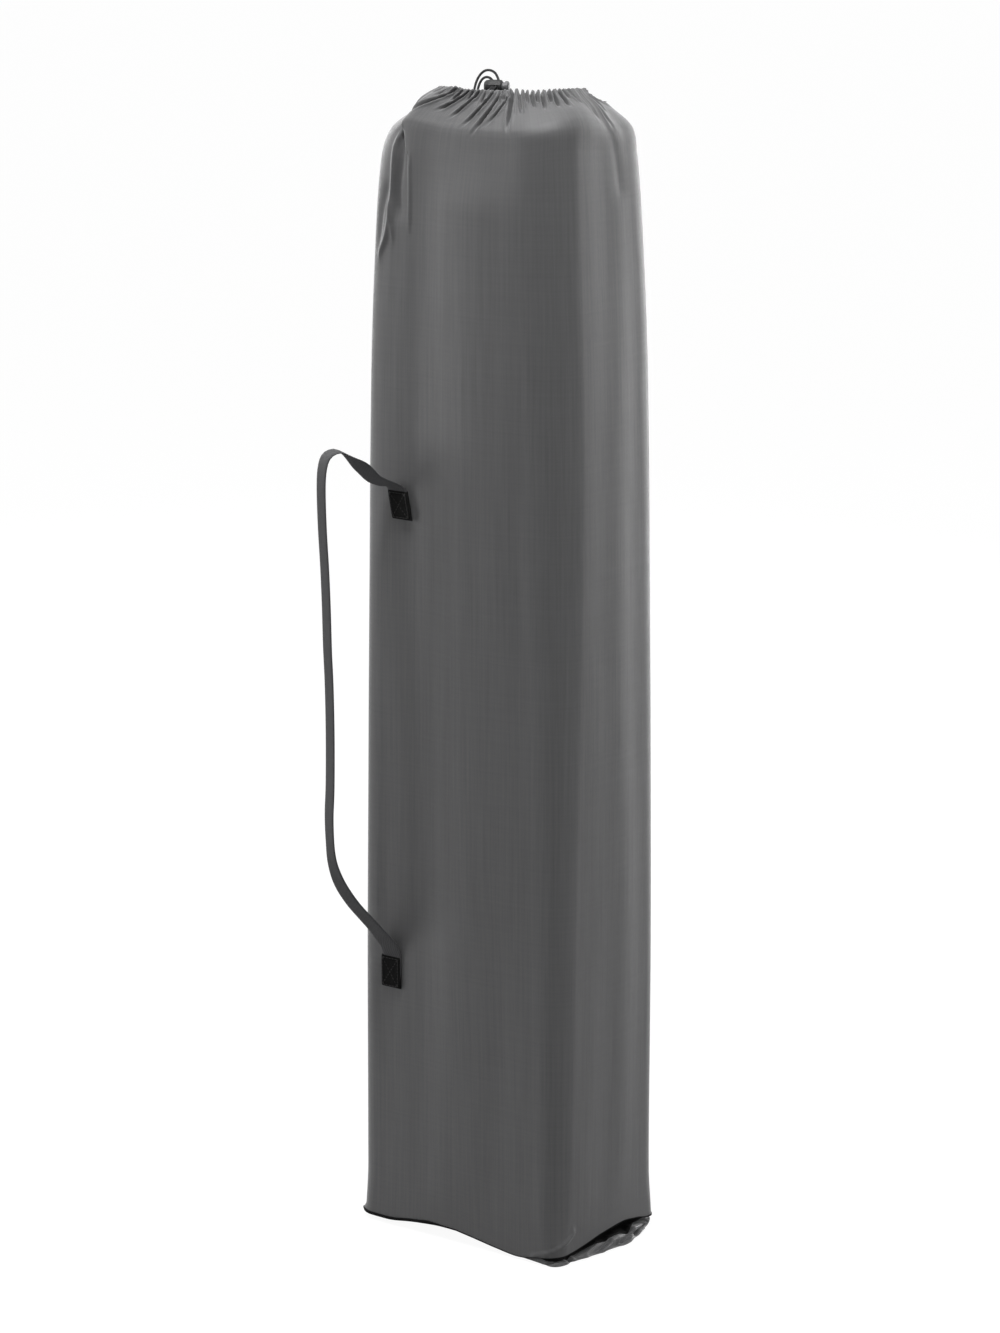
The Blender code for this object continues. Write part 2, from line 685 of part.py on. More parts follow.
def strap_point(z, stand_off):
    """Middle of the webbing, standing off the bag in the strap's own plane."""
    out = Vector((-math.sin(STRAP_TURN), -math.cos(STRAP_TURN), 0.0))
    return strap_base(z) + out * stand_off


def ribbon(name, points, turns, finish):
    """Flat webbing along points; turns are the angles of its width about the vertical."""
    mesh = bpy.data.meshes.new(name)
    work = bmesh.new()
    rows = []
    for point, turn in zip(points, turns):
        across = Vector((math.cos(turn), -math.sin(turn), 0.0)) * WEBBING_WIDTH / 2
        rows.append((work.verts.new(point - across), work.verts.new(point + across)))
    for (left, right), (next_left, next_right) in zip(rows, rows[1:]):
        work.faces.new((left, right, next_right, next_left))
    work.to_mesh(mesh)
    work.free()
    part = add_part(name, mesh, finish)
    skin = part.modifiers.new("webbing", "SOLIDIFY")
    skin.thickness = WEBBING_THICKNESS
    skin.offset = 0.0
    return part


def build_carry_strap():
    """Sewn patches, the webbing's two sewn ends and the free loop between them."""
    for name, (x, low, high) in (("strap_patch_upper", UPPER_PATCH), ("strap_patch_lower", LOWER_PATCH)):
        front = -BAG_HALF_Y - GAP
        mesh = box_mesh(name, (x - PATCH_WIDTH / 2, front - PATCH_THICKNESS, low),
                        (x + PATCH_WIDTH / 2, front, high))
        patch = add_part(name, mesh, "patch", smooth=False)
        edge = patch.modifiers.new("edge", "BEVEL")
        edge.width = PATCH_EDGE
        edge.segments = 1
    loop = smooth_route([strap_point(z, out) for z, out in STRAP_ROUTE], STRAP_STEPS)
    ribbon("carry_strap", loop, [STRAP_TURN] * STRAP_STEPS, "webbing")
    last = STRAP_END_STEPS - 1
    turns = [STRAP_TURN * min(1.0, END_TURN_RATE * index / last) for index in range(STRAP_END_STEPS)]
    for name, route in (("strap_end_upper", UPPER_END_ROUTE), ("strap_end_lower", LOWER_END_ROUTE)):
        points = smooth_route([strap_point(z, out) for z, out in route], STRAP_END_STEPS)
        ribbon(name, points, turns, "webbing")


# Folded cot: side rails, end caps and fold channels

HALVES = {"head": -1, "foot": 1}
SIDES = {"front": -1, "rear": 1}


def y_cylinder(name, radius, x, y, z, length, steps=RIVET_STEPS):
    """Cutter or rivet along Y."""
    return place(add_cutter(name, cylinder_mesh(name, radius, length, steps)), (x, y, z), (0.0, 1.0, 0.0))


def x_cylinder(name, radius, x, y, z, length, steps=RIVET_STEPS):
    """Cutter or rivet along X."""
    return place(add_cutter(name, cylinder_mesh(name, radius, length, steps)), (x, y, z), (1.0, 0.0, 0.0))


def build_rails():
    """Four half rails with their end caps."""
    top = RAIL_BOTTOM_Z + RAIL_LENGTH
    inner = RAIL_RADIUS - RAIL_WALL
    for half, sx in HALVES.items():
        for side, sy in SIDES.items():
            x, y = sx * RAIL_X, sy * RAIL_Y
            profile = tube_profile(RAIL_RADIUS, RAIL_WALL, RAIL_BOTTOM_Z, top)
            rail = turned(f"rail_{half}_{side}", profile, "powder_coat")
            rail.location = (x, y, 0.0)
            for place_name, z in (("fold", FOLD_PIN_Z), ("bracket", END_PIVOT_Z)):
                hole_name = f"hole_{place_name}_{half}_{side}"
                cut(rail, y_cylinder(hole_name, PIN_RADIUS + GAP, x, y, z, 4 * RAIL_RADIUS))
            cap = turned(f"rail_cap_{half}_{side}", [
                (0.0, top + GAP + CAP_FLANGE), (RAIL_RADIUS * 0.7, top + GAP + CAP_FLANGE),
                (RAIL_RADIUS + CAP_LIP, top + GAP + CAP_FLANGE * 0.45), (RAIL_RADIUS + CAP_LIP, top + GAP),
                (inner - GAP, top + GAP), (inner - GAP, top - CAP_PLUG),
                (inner - CAP_TAPER, top - CAP_PLUG - CAP_TAPER), (0.0, top - CAP_PLUG - CAP_TAPER),
            ], "black_plastic", closed=False)
            cap.location = (x, y, 0.0)


def on_x(part, x, y, z):
    """Turn an extrusion so that its outline lies in Y and Z, and its length along X."""
    turn = Matrix(((0, 0, 1), (1, 0, 0), (0, 1, 0))).to_4x4()
    part.matrix_world = Matrix.Translation((x, y, z)) @ turn
    return part


CHANNEL_INNER = RAIL_RADIUS + 0.0006
CHANNEL_OUTER = CHANNEL_INNER + CHANNEL_WALL
CHANNEL_LENGTH = 2 * (RAIL_X + CHANNEL_OVERHANG)


def build_fold_channels():
    """The two channels that join the half rails at the fold, each with two pins."""
    low, top, wall = CHANNEL_FLOOR_Z, CHANNEL_TOP_Z, CHANNEL_WALL
    outline = [(-CHANNEL_OUTER, top), (-CHANNEL_OUTER, low + wall), (-CHANNEL_OUTER + wall, low),
               (CHANNEL_OUTER - wall, low), (CHANNEL_OUTER, low + wall), (CHANNEL_OUTER, top),
               (CHANNEL_INNER, top), (CHANNEL_INNER, low + wall), (-CHANNEL_INNER, low + wall),
               (-CHANNEL_INNER, top)]
    grip = 2 * (CHANNEL_OUTER + GAP)
    for side, sy in SIDES.items():
        mesh = extruded_mesh(f"fold_channel_{side}", [outline], CHANNEL_LENGTH)
        channel = add_part(f"fold_channel_{side}", mesh, "zinc", smooth=False)
        on_x(channel, 0.0, sy * RAIL_Y, 0.0)
        for half, sx in HALVES.items():
            hole = y_cylinder(f"channel_hole_{half}_{side}", PIN_RADIUS + GAP, sx * RAIL_X, sy * RAIL_Y,
                              FOLD_PIN_Z, 3 * CHANNEL_OUTER)
            cut(channel, hole)
            pin = turned(f"fold_pin_{half}_{side}", rivet_profile(grip), "zinc", steps=RIVET_STEPS,
                         closed=False)
            place(pin, (sx * RAIL_X, sy * RAIL_Y, FOLD_PIN_Z), (0.0, 1.0, 0.0))


def rivet_profile(grip, collar=None):
    """Section of a two-headed rivet with its grip centred, and a collar (radius, low, high) if given."""
    half = grip / 2
    profile = [(0.0, half + PIN_HEAD), (PIN_HEAD_RADIUS * 0.6, half + PIN_HEAD),
               (PIN_HEAD_RADIUS, half + PIN_HEAD * 0.4), (PIN_HEAD_RADIUS, half), (PIN_RADIUS, half)]
    if collar:
        radius, low, high = collar
        profile += [(PIN_RADIUS, high), (radius, high), (radius, low), (PIN_RADIUS, low)]
    profile += [(PIN_RADIUS, -half), (PIN_HEAD_RADIUS, -half), (PIN_HEAD_RADIUS, -half - PIN_HEAD * 0.4),
                (PIN_HEAD_RADIUS * 0.6, -half - PIN_HEAD), (0.0, -half - PIN_HEAD)]
    return profile


# Legs. Each pair crosses between the front and the rear rail, one leg outside the other.

LUG_FACE_X = BRACKET_INNER_X - PLATE
LAYER = LEG_DEPTH + GAP
NEAR_LAYER_X = LUG_FACE_X - GAP - LEG_DEPTH / 2
FAR_LAYER_X = NEAR_LAYER_X - LAYER
MIDDLE_LEG_X = LEG_DEPTH / 2 + 0.0006
MIDDLE_LUG_X = MIDDLE_LEG_X + LEG_DEPTH / 2 + GAP

# Each leg: x of its middle plane, which side its pivot is on, pivot height, and up or down to the foot
LEGS = {
    "leg_head_front": (-NEAR_LAYER_X, -1, END_PIVOT_Z, -1),
    "leg_head_rear": (-FAR_LAYER_X, 1, END_PIVOT_Z, -1),
    "leg_middle_front": (-MIDDLE_LEG_X, -1, MIDDLE_PIVOT_Z, 1),
    "leg_middle_rear": (MIDDLE_LEG_X, 1, MIDDLE_PIVOT_Z, 1),
    "leg_foot_front": (NEAR_LAYER_X, -1, END_PIVOT_Z, -1),
    "leg_foot_rear": (FAR_LAYER_X, 1, END_PIVOT_Z, -1),
}


def leg_direction(side, up):
    """Unit vector from a leg's pivot to its foot."""
    rise = math.sqrt(LEG_REACH ** 2 - (2 * LEG_PIVOT_Y) ** 2)
    return Vector((0.0, -side * 2 * LEG_PIVOT_Y, up * rise)).normalized()


def leg_frame(part, centre, direction):
    """Local Z down the leg, local Y across its flat sides, along world X."""
    flat = Vector((1.0, 0.0, 0.0))
    turn = Matrix((flat.cross(direction), flat, direction)).transposed().to_4x4()
    part.matrix_world = Matrix.Translation(centre) @ turn
    return part


def solid_loft(name, rings, finish):
    """Skin rings of equal point counts and close both ends."""
    mesh = bpy.data.meshes.new(name)
    work = bmesh.new()
    rows = [[work.verts.new(point) for point in ring] for ring in rings]
    count = len(rows[0])
    for lower, upper in zip(rows, rows[1:]):
        for index in range(count):
            following = (index + 1) % count
            work.faces.new((lower[index], lower[following], upper[following], upper[index]))
    work.faces.new(list(reversed(rows[0])))
    work.faces.new(rows[-1])
    bmesh.ops.recalc_face_normals(work, faces=work.faces)
    work.to_mesh(mesh)
    work.free()
    return add_part(name, mesh, finish)


def build_legs():
    """Six leg tubes with their feet and the three rivets where they cross."""
    outer = stadium(LEG_WIDTH, LEG_DEPTH)
    inner = stadium(LEG_WIDTH - 2 * LEG_WALL, LEG_DEPTH - 2 * LEG_WALL)
    plug = LEG_WALL + GAP
    for name, (x, side, pivot_z, up) in LEGS.items():
        direction = leg_direction(side, up)
        pivot = Vector((x, side * LEG_PIVOT_Y, pivot_z))
        length = LEG_REACH + LEG_STUB
        leg = add_part(name, extruded_mesh(name, [outer, inner], length), "powder_coat")
        leg_frame(leg, pivot + direction * (LEG_REACH - LEG_STUB) / 2, direction)
        for hole_name, reach in (("pivot", 0.0), ("cross", LEG_REACH / 2)):
            spot = pivot + direction * reach
            cut(leg, x_cylinder(f"{hole_name}_{name}", PIN_RADIUS + GAP, *spot, 2 * LEG_DEPTH))
        rings = []
        for grow, height in ((-2 * plug, -FOOT_PLUG), (-2 * plug, GAP), (0.003, GAP),
                             (0.0036, 0.7 * FOOT_HEIGHT), (0.0, FOOT_HEIGHT)):
            ring = stadium(LEG_WIDTH + grow, LEG_DEPTH + min(grow, 0.0))
            rings.append([(a, b, height) for a, b in ring])
        foot = solid_loft(name.replace("leg_", "foot_cap_"), rings, "black_plastic")
        leg_frame(foot, pivot + direction * LEG_REACH, direction)
    reach = leg_direction(1, 1).z * LEG_REACH / 2
    crossings = {
        "head": (-(NEAR_LAYER_X + FAR_LAYER_X) / 2, END_PIVOT_Z - reach, NEAR_LAYER_X - FAR_LAYER_X),
        "middle": (0.0, MIDDLE_PIVOT_Z + reach, 2 * MIDDLE_LEG_X),
        "foot": ((NEAR_LAYER_X + FAR_LAYER_X) / 2, END_PIVOT_Z - reach, NEAR_LAYER_X - FAR_LAYER_X),
    }
    for pair, (x, z, spacing) in crossings.items():
        grip = spacing + LEG_DEPTH + 2 * GAP
        rivet = turned(f"cross_rivet_{pair}", rivet_profile(grip), "zinc", steps=RIVET_STEPS, closed=False)
        place(rivet, (x, 0.0, z), (1.0, 0.0, 0.0))


# Brackets and leg pins

def mirrored(outline, sx, sy):
    """Outline with its signs set for one corner of the folded frame."""
    return [(sx * x, sy * y) for x, y in outline]


def build_brackets():
    """Folded steel brackets on the rails and on the fold channels, and the pin of each leg."""
    inner = RAIL_RADIUS + 2 * GAP
    near, far = RAIL_Y - inner, RAIL_Y + inner
    end_x = RAIL_X + BRACKET_OVERLAP
    strip = [(end_x, far + PLATE), (LUG_FACE_X, far + PLATE), (LUG_FACE_X, LUG_END_Y),
             (BRACKET_INNER_X, LUG_END_Y), (BRACKET_INNER_X, near - PLATE), (end_x, near - PLATE),
             (end_x, near), (BRACKET_INNER_X, near), (BRACKET_INNER_X, far), (end_x, far)]
    for half, sx in HALVES.items():
        for side, sy in SIDES.items():
            name = f"leg_bracket_{half}_{side}"
            mesh = extruded_mesh(name, [mirrored(strip, sx, sy)], BRACKET_HEIGHT)
            bracket = add_part(name, mesh, "zinc", smooth=False)
            bracket.location = (0.0, 0.0, END_PIVOT_Z)
            rivet = y_cylinder(f"bracket_rivet_{half}_{side}", PIN_RADIUS, sx * RAIL_X, sy * RAIL_Y,
                               END_PIVOT_Z, 2 * (inner + PLATE))
            cut(bracket, rivet, "UNION")
            hole = x_cylinder(f"bracket_hole_{half}_{side}", PIN_RADIUS + GAP, sx * BRACKET_INNER_X,
                              sy * LEG_PIVOT_Y, END_PIVOT_Z, PLATE_CUT)
            cut(bracket, hole)
            leg_x = abs(LEGS[f"leg_{half}_{side}"][0])
            outer_face, inner_face = BRACKET_INNER_X + GAP, leg_x - LEG_DEPTH / 2 - GAP
            middle, grip = (outer_face + inner_face) / 2, outer_face - inner_face
            collar = None
            if leg_x < NEAR_LAYER_X:
                span = (LUG_FACE_X - GAP - middle, leg_x + LEG_DEPTH / 2 + GAP - middle)
                collar = (PIN_HEAD_RADIUS, min(sx * span[0], sx * span[1]), max(sx * span[0], sx * span[1]))
            pin = turned(f"leg_pin_{half}_{side}", rivet_profile(grip, collar), "zinc", steps=RIVET_STEPS,
                         closed=False)
            place(pin, (sx * middle, sy * LEG_PIVOT_Y, END_PIVOT_Z), (1.0, 0.0, 0.0))
    wall = RAIL_Y - CHANNEL_OUTER - GAP
    foot, top = CHANNEL_FLOOR_Z + MIDDLE_STRIP_DROP, MIDDLE_PIVOT_Z + MIDDLE_STRIP_RISE
    end_x = MIDDLE_LUG_X + MIDDLE_STRIP
    angle = [(end_x, wall), (MIDDLE_LUG_X, wall), (MIDDLE_LUG_X, LUG_END_Y),
             (MIDDLE_LUG_X + PLATE, LUG_END_Y), (MIDDLE_LUG_X + PLATE, wall - PLATE), (end_x, wall - PLATE)]
    for side, sy in SIDES.items():
        name = f"leg_bracket_middle_{side}"
        mesh = extruded_mesh(name, [mirrored(angle, sy, sy)], top - foot)
        bracket = add_part(name, mesh, "zinc", smooth=False)
        bracket.location = (0.0, 0.0, (top + foot) / 2)
        hole = x_cylinder(f"middle_hole_{side}", PIN_RADIUS + GAP, sy * MIDDLE_LUG_X, sy * LEG_PIVOT_Y,
                          MIDDLE_PIVOT_Z, PLATE_CUT)
        cut(bracket, hole)
        outer_face, inner_face = MIDDLE_LUG_X + PLATE + GAP, MIDDLE_LEG_X - LEG_DEPTH / 2 - GAP
        pin = turned(f"leg_pin_middle_{side}", rivet_profile(outer_face - inner_face), "zinc",
                     steps=RIVET_STEPS, closed=False)
        place(pin, (sy * (outer_face + inner_face) / 2, sy * LEG_PIVOT_Y, MIDDLE_PIVOT_Z), (1.0, 0.0, 0.0))


# Bed fabric and end bars

def build_bed_fabric():
    """The bed's fabric, folded in layers outside the rails, with sleeves, pockets and cut-outs."""
    x_out, x_in = FABRIC_OUTER_X, FABRIC_INNER_X
    end = CHANNEL_LENGTH / 2 + GAP
    bottom, seat = CLOTH + GAP, CHANNEL_FLOOR_Z - GAP
    ledge, top, soft = CHANNEL_TOP_Z + FABRIC_LEDGE, FABRIC_TOP_Z, FABRIC_SOFT_EDGE
    wide = x_out + FABRIC_TRIM
    outline = arc((-wide + soft, bottom + soft), soft, 180, 270, 3)
    outline += arc((wide - soft, bottom + soft), soft, 270, 360, 3)
    outline += arc((wide - soft, top - soft), soft, 0, 90, 3)
    outline += arc((x_in + soft, top - soft), soft, 90, 180, 3)
    outline += [(x_in, ledge), (end, ledge), (end, seat), (-end, seat), (-end, ledge), (-x_in, ledge)]
    outline += arc((-x_in - soft, top - soft), soft, 0, 90, 3)
    outline += arc((-wide + soft, top - soft), soft, 90, 180, 3)
    mesh = extruded_mesh("bed_fabric", [outline], 2 * (FABRIC_HALF_Y + FABRIC_TRIM))
    fabric = add_part("bed_fabric", mesh, "bed_fabric", smooth=False)
    fabric.matrix_world = Matrix(((1, 0, 0), (0, 0, -1), (0, 1, 0))).to_4x4()
    rounding = section(x_out, FABRIC_HALF_Y, FABRIC_HALF_Y, FABRIC_CORNER)
    rounder = add_cutter("fabric_rounding", extruded_mesh("fabric_rounding", [rounding], 2 * top + CUT))
    cut(fabric, rounder, "INTERSECT")
    long = top - ledge + 2 * BAR_RADIUS
    inner = FABRIC_INNER_CORNER
    edge = arc((x_in + inner, FABRIC_HALF_Y - inner), inner, 180, 90, 6)
    edge += [(x_in + inner, FABRIC_HALF_Y + CUT), (x_in - CUT, FABRIC_HALF_Y + CUT)]
    edge += [(x_in - CUT, FABRIC_HALF_Y - inner)]
    for half, sx in HALVES.items():
        for side, sy in SIDES.items():
            waste = extruded_mesh(f"fabric_edge_{half}_{side}", [mirrored(edge, sx, sy)], long)
            corner = add_cutter(f"fabric_edge_{half}_{side}", waste)
            place(corner, (0.0, 0.0, ledge + FABRIC_LEDGE + long / 2))
            cut(fabric, corner)
            sleeve = add_cutter(f"sleeve_{half}_{side}",
                                cylinder_mesh("sleeve", RAIL_RADIUS + SLEEVE_CLEARANCE, long, ROUND_STEPS))
            place(sleeve, (sx * RAIL_X, sy * RAIL_Y, (top + ledge) / 2))
            cut(fabric, sleeve)
            low_x, high_x = sorted((sx * BRACKET_INNER_X, sx * (RAIL_X + WINDOW_OUTER)))
            near_y = RAIL_Y - RAIL_RADIUS - PLATE - WINDOW_INNER
            low_y, high_y = sorted((sy * near_y, sy * (FABRIC_HALF_Y + CUT)))
            reach = BRACKET_HEIGHT / 2 + WINDOW_ENDS
            low, high = (low_x, low_y, END_PIVOT_Z - reach), (high_x, high_y, END_PIVOT_Z + reach)
            window = box_mesh("window", low, high)
            cut(fabric, add_cutter(f"window_{half}_{side}", window))
        depth = BAR_LENGTH + GAP + BAR_RADIUS
        pocket = add_cutter(f"pocket_{half}",
                            cylinder_mesh("pocket", BAR_RADIUS + SLEEVE_CLEARANCE, depth, ROUND_STEPS))
        place(pocket, (sx * RAIL_X, 0.0, BAR_TOP_Z + BAR_RADIUS - depth / 2))
        cut(fabric, pocket)


def build_end_bars():
    """The two end bars, plain tubes."""
    for half, sx in HALVES.items():
        profile = tube_profile(BAR_RADIUS, BAR_WALL, BAR_TOP_Z - BAR_LENGTH, BAR_TOP_Z)
        bar = turned(f"end_bar_{half}", profile, "powder_coat")
        bar.location = (sx * RAIL_X, 0.0, 0.0)


build_bag_body()
build_bag_base()
build_mouth_collar()
build_drawcord()
build_cord_tails()
build_cord_lock()
build_carry_strap()
build_rails()
build_fold_channels()
build_legs()
build_brackets()
build_bed_fabric()
build_end_bars()
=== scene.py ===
import math

import bpy
import numpy as np
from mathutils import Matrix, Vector


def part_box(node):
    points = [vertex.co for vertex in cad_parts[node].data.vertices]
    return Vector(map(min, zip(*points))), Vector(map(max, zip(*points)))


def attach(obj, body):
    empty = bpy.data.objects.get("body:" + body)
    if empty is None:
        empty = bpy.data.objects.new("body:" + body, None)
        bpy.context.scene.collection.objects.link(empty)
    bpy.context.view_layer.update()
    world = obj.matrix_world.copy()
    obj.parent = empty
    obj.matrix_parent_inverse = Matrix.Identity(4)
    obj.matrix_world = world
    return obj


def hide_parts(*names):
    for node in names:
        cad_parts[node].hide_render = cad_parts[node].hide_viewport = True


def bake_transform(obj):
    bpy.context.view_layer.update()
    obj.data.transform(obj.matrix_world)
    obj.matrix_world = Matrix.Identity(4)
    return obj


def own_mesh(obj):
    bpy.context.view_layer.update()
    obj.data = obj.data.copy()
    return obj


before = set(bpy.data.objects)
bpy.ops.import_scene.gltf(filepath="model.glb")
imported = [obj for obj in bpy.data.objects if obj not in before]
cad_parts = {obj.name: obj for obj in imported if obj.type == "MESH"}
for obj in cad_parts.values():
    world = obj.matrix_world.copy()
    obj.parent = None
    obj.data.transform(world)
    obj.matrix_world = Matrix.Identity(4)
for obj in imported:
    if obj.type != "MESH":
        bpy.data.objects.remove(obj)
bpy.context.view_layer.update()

# Packed folding camping cot, standing upright in its drawstring carry bag.
# Metres, +Z up. The bag's front is -Y, its near corner is +X -Y, and the floor is Z = 0.

# The view of the photograph
# A long lens looks down on the bag from its right front corner. The values come from the
# bag's bottom corners, its straight sides and the front edge of its mouth in the picture.

VIEW_AZIMUTH = math.radians(37.1)
VIEW_DISTANCE = 3.6
VIEW_HEIGHT = 1.34
VIEW_PITCH = math.radians(13.1)
VIEW_YAW = math.radians(0.11)
FOCAL_PIXELS = 4298
PHOTO_LONG_SIDE = 1333
SENSOR = 36.0

camera = bpy.data.objects.new("camera", bpy.data.cameras.new("camera"))
bpy.context.collection.objects.link(camera)
camera.data.sensor_width = SENSOR
camera.data.lens = SENSOR * FOCAL_PIXELS / PHOTO_LONG_SIDE
camera.data.clip_end = 100.0
camera.location = (VIEW_DISTANCE * math.sin(VIEW_AZIMUTH), -VIEW_DISTANCE * math.cos(VIEW_AZIMUTH),
                   VIEW_HEIGHT)
heading = VIEW_AZIMUTH + VIEW_YAW
look = Vector((-math.sin(heading) * math.cos(VIEW_PITCH), math.cos(heading) * math.cos(VIEW_PITCH),
               -math.sin(VIEW_PITCH)))
camera.rotation_euler = look.to_track_quat("-Z", "Y").to_euler()
bpy.context.scene.camera = camera
bpy.context.scene.view_settings.view_transform = "Standard"

# The studio
# A white floor before a bright white sweep, whose light grazes the cloth from behind. One
# soft lamp hangs overhead, two stand at the right and two on the left.

FLOOR_SIZE = 60.0
FLOOR_WHITE = 0.36
FLOOR_GLOW = 0.75
FLOOR_GLOW_STRENGTH = 1.25
ROOM_LIGHT = 0.15
SWEEP_LIGHT = 1.05
SWEEP_DIRECTION = (-math.sin(VIEW_AZIMUTH), math.cos(VIEW_AZIMUTH), 0.0)
LAMP_AIM = Vector((0.0, 0.0, 0.55))
# Each lamp: its place, its size and its power in watts
LAMPS = {
    "lamp_overhead": ((0.1, -0.55, 2.6), 0.9, 44.0),
    "lamp_back_right": ((0.42, 2.65, 0.45), 2.2, 58.0),
    "lamp_right": ((2.7, -0.35, 0.9), 1.6, 15.0),
    "lamp_back_left": ((-2.7, 1.0, 1.3), 1.2, 18.0),
    "lamp_left": ((-2.39, -1.73, 0.8), 1.5, 23.0),
}


def new_material(name):
    """A node material: itself, its tree and its Principled shader."""
    material = bpy.data.materials.new(name)
    material.use_nodes = True
    return material, material.node_tree, material.node_tree.nodes["Principled BSDF"]


def feed(tree, receiver, inputs):
    """Set or link a node's inputs by name or number. A colour is red, green and blue."""
    for key, value in inputs.items():
        socket = receiver.inputs[key]
        if isinstance(value, bpy.types.NodeSocket):
            tree.links.new(value, socket)
        elif socket.type == "RGBA":
            socket.default_value = (*value, 1.0)
        else:
            socket.default_value = value


def node(tree, kind, inputs=None, **settings):
    """Add a node with its settings, and feed its inputs."""
    made = tree.nodes.new(kind)
    for key, value in settings.items():
        setattr(made, key, value)
    feed(tree, made, inputs or {})
    return made


def maths(tree, operation, *values):
    """The result of a Math node."""
    return node(tree, "ShaderNodeMath", dict(enumerate(values)), operation=operation).outputs[0]


def between(tree, factor, first, second):
    """A value part of the way from the first to the second."""
    return node(tree, "ShaderNodeMix", {"Factor": factor, 2: first, 3: second}, data_type="FLOAT").outputs[0]


floor = bpy.data.objects.new("floor", bpy.data.meshes.new("floor"))
bpy.context.collection.objects.link(floor)
half_floor = FLOOR_SIZE / 2
floor.data.from_pydata([(-half_floor, -half_floor, 0), (half_floor, -half_floor, 0),
                        (half_floor, half_floor, 0), (-half_floor, half_floor, 0)], [], [(0, 1, 2, 3)])
floor_white, tree, shader = new_material("floor_white")
feed(tree, shader, {"Base Color": (FLOOR_WHITE, FLOOR_WHITE, FLOOR_WHITE), "Roughness": 0.9})
seen = maths(tree, "MULTIPLY", node(tree, "ShaderNodeLightPath").outputs["Is Camera Ray"], FLOOR_GLOW)
glow = node(tree, "ShaderNodeEmission", {"Strength": FLOOR_GLOW_STRENGTH})
lit = node(tree, "ShaderNodeMixShader", {0: seen, 1: shader.outputs[0], 2: glow.outputs[0]})
feed(tree, tree.nodes["Material Output"], {"Surface": lit.outputs[0]})
floor.data.materials.append(floor_white)

world = bpy.data.worlds.new("surround")
bpy.context.scene.world = world
world.use_nodes = True
tree = world.node_tree
ray = node(tree, "ShaderNodeTexCoord").outputs["Generated"]
behind = node(tree, "ShaderNodeVectorMath", {0: ray, 1: SWEEP_DIRECTION}, operation="DOT_PRODUCT")
sweep = node(tree, "ShaderNodeMapRange", {"Value": behind.outputs["Value"], "From Min": -0.2, "From Max": 0.8,
                                          "To Min": ROOM_LIGHT, "To Max": SWEEP_LIGHT},
             interpolation_type="SMOOTHSTEP")
seen = node(tree, "ShaderNodeLightPath").outputs["Is Camera Ray"]
feed(tree, tree.nodes["Background"], {"Color": (1.0, 1.0, 1.0),
                                      "Strength": between(tree, seen, sweep.outputs[0], 1.0)})

for name, (position, size, watts) in LAMPS.items():
    data = bpy.data.lights.new(name, "AREA")
    data.shape = "DISK"
    data.size = size
    data.energy = watts
    lamp = bpy.data.objects.new(name, data)
    bpy.context.collection.objects.link(lamp)
    lamp.location = position
    lamp.rotation_euler = (LAMP_AIM - Vector(position)).to_track_quat("-Z", "Y").to_euler()

# The folded frame's tubes
# Round and flat-oval steel tubes, powder coated in dark grey: four half rails, six legs
# and the two end bars. They keep their CAD shapes and get the coat's orange peel.


def new_group(name, inputs, outputs):
    """A shader node group with named inputs (kind, default) and outputs (kind)."""
    group = bpy.data.node_groups.new(name, "ShaderNodeTree")
    for title, (kind, default) in inputs.items():
        socket = group.interface.new_socket(title, in_out="INPUT", socket_type=kind)
        if default is not None:
            socket.default_value = default
    for title, kind in outputs.items():
        group.interface.new_socket(title, in_out="OUTPUT", socket_type=kind)
    return group, group.nodes.new("NodeGroupInput"), group.nodes.new("NodeGroupOutput")


FLOAT, VECTOR = "NodeSocketFloat", "NodeSocketVector"

# Fine orange peel or moulded grain, with soft cloudy wear
grain_group, source, result = new_group(
    "surface_grain", {"Scale": (FLOAT, 900.0), "Cloud Scale": (FLOAT, 14.0)},
    {"Grain": FLOAT, "Clouds": FLOAT})
place = node(grain_group, "ShaderNodeTexCoord").outputs["Object"]
grain, clouds = (node(grain_group, "ShaderNodeTexNoise", {"Vector": place, "Scale": source.outputs[scale],
                                                          "Detail": detail})
                 for scale, detail in (("Scale", 2.0), ("Cloud Scale", 4.0)))
feed(grain_group, result, {"Grain": grain.outputs[0], "Clouds": clouds.outputs[0]})


def tone_between(tree, factor, first, second):
    """A colour part of the way from the first tone to the second."""
    return node(tree, "ShaderNodeMix", {"Factor": factor, 6: first, 7: second}, data_type="RGBA").outputs[2]


def hard_finish(name, dark, light, roughness, metallic, scale, bump, cloud_scale=14.0):
    """A coated, plated or moulded finish: two tones, uneven gloss and a fine grain."""
    material, tree, shader = new_material(name)
    skin = node(tree, "ShaderNodeGroup", {"Scale": scale, "Cloud Scale": cloud_scale}, node_tree=grain_group)
    wear = skin.outputs["Clouds"]
    gloss = node(tree, "ShaderNodeMapRange", {"Value": wear, "To Min": roughness[0], "To Max": roughness[1]})
    relief = node(tree, "ShaderNodeBump", {"Height": skin.outputs["Grain"], "Distance": bump,
                                           "Strength": 0.5})
    feed(tree, shader, {"Base Color": tone_between(tree, wear, dark, light), "Roughness": gloss.outputs[0],
                        "Normal": relief.outputs[0], "Metallic": metallic})
    return material


def finish_nodes(prefixes, material, without=()):
    """Give a material to the CAD nodes whose names start with a prefix."""
    for name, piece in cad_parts.items():
        if name.startswith(prefixes) and not name.startswith(without):
            piece.material_slots[0].material = material


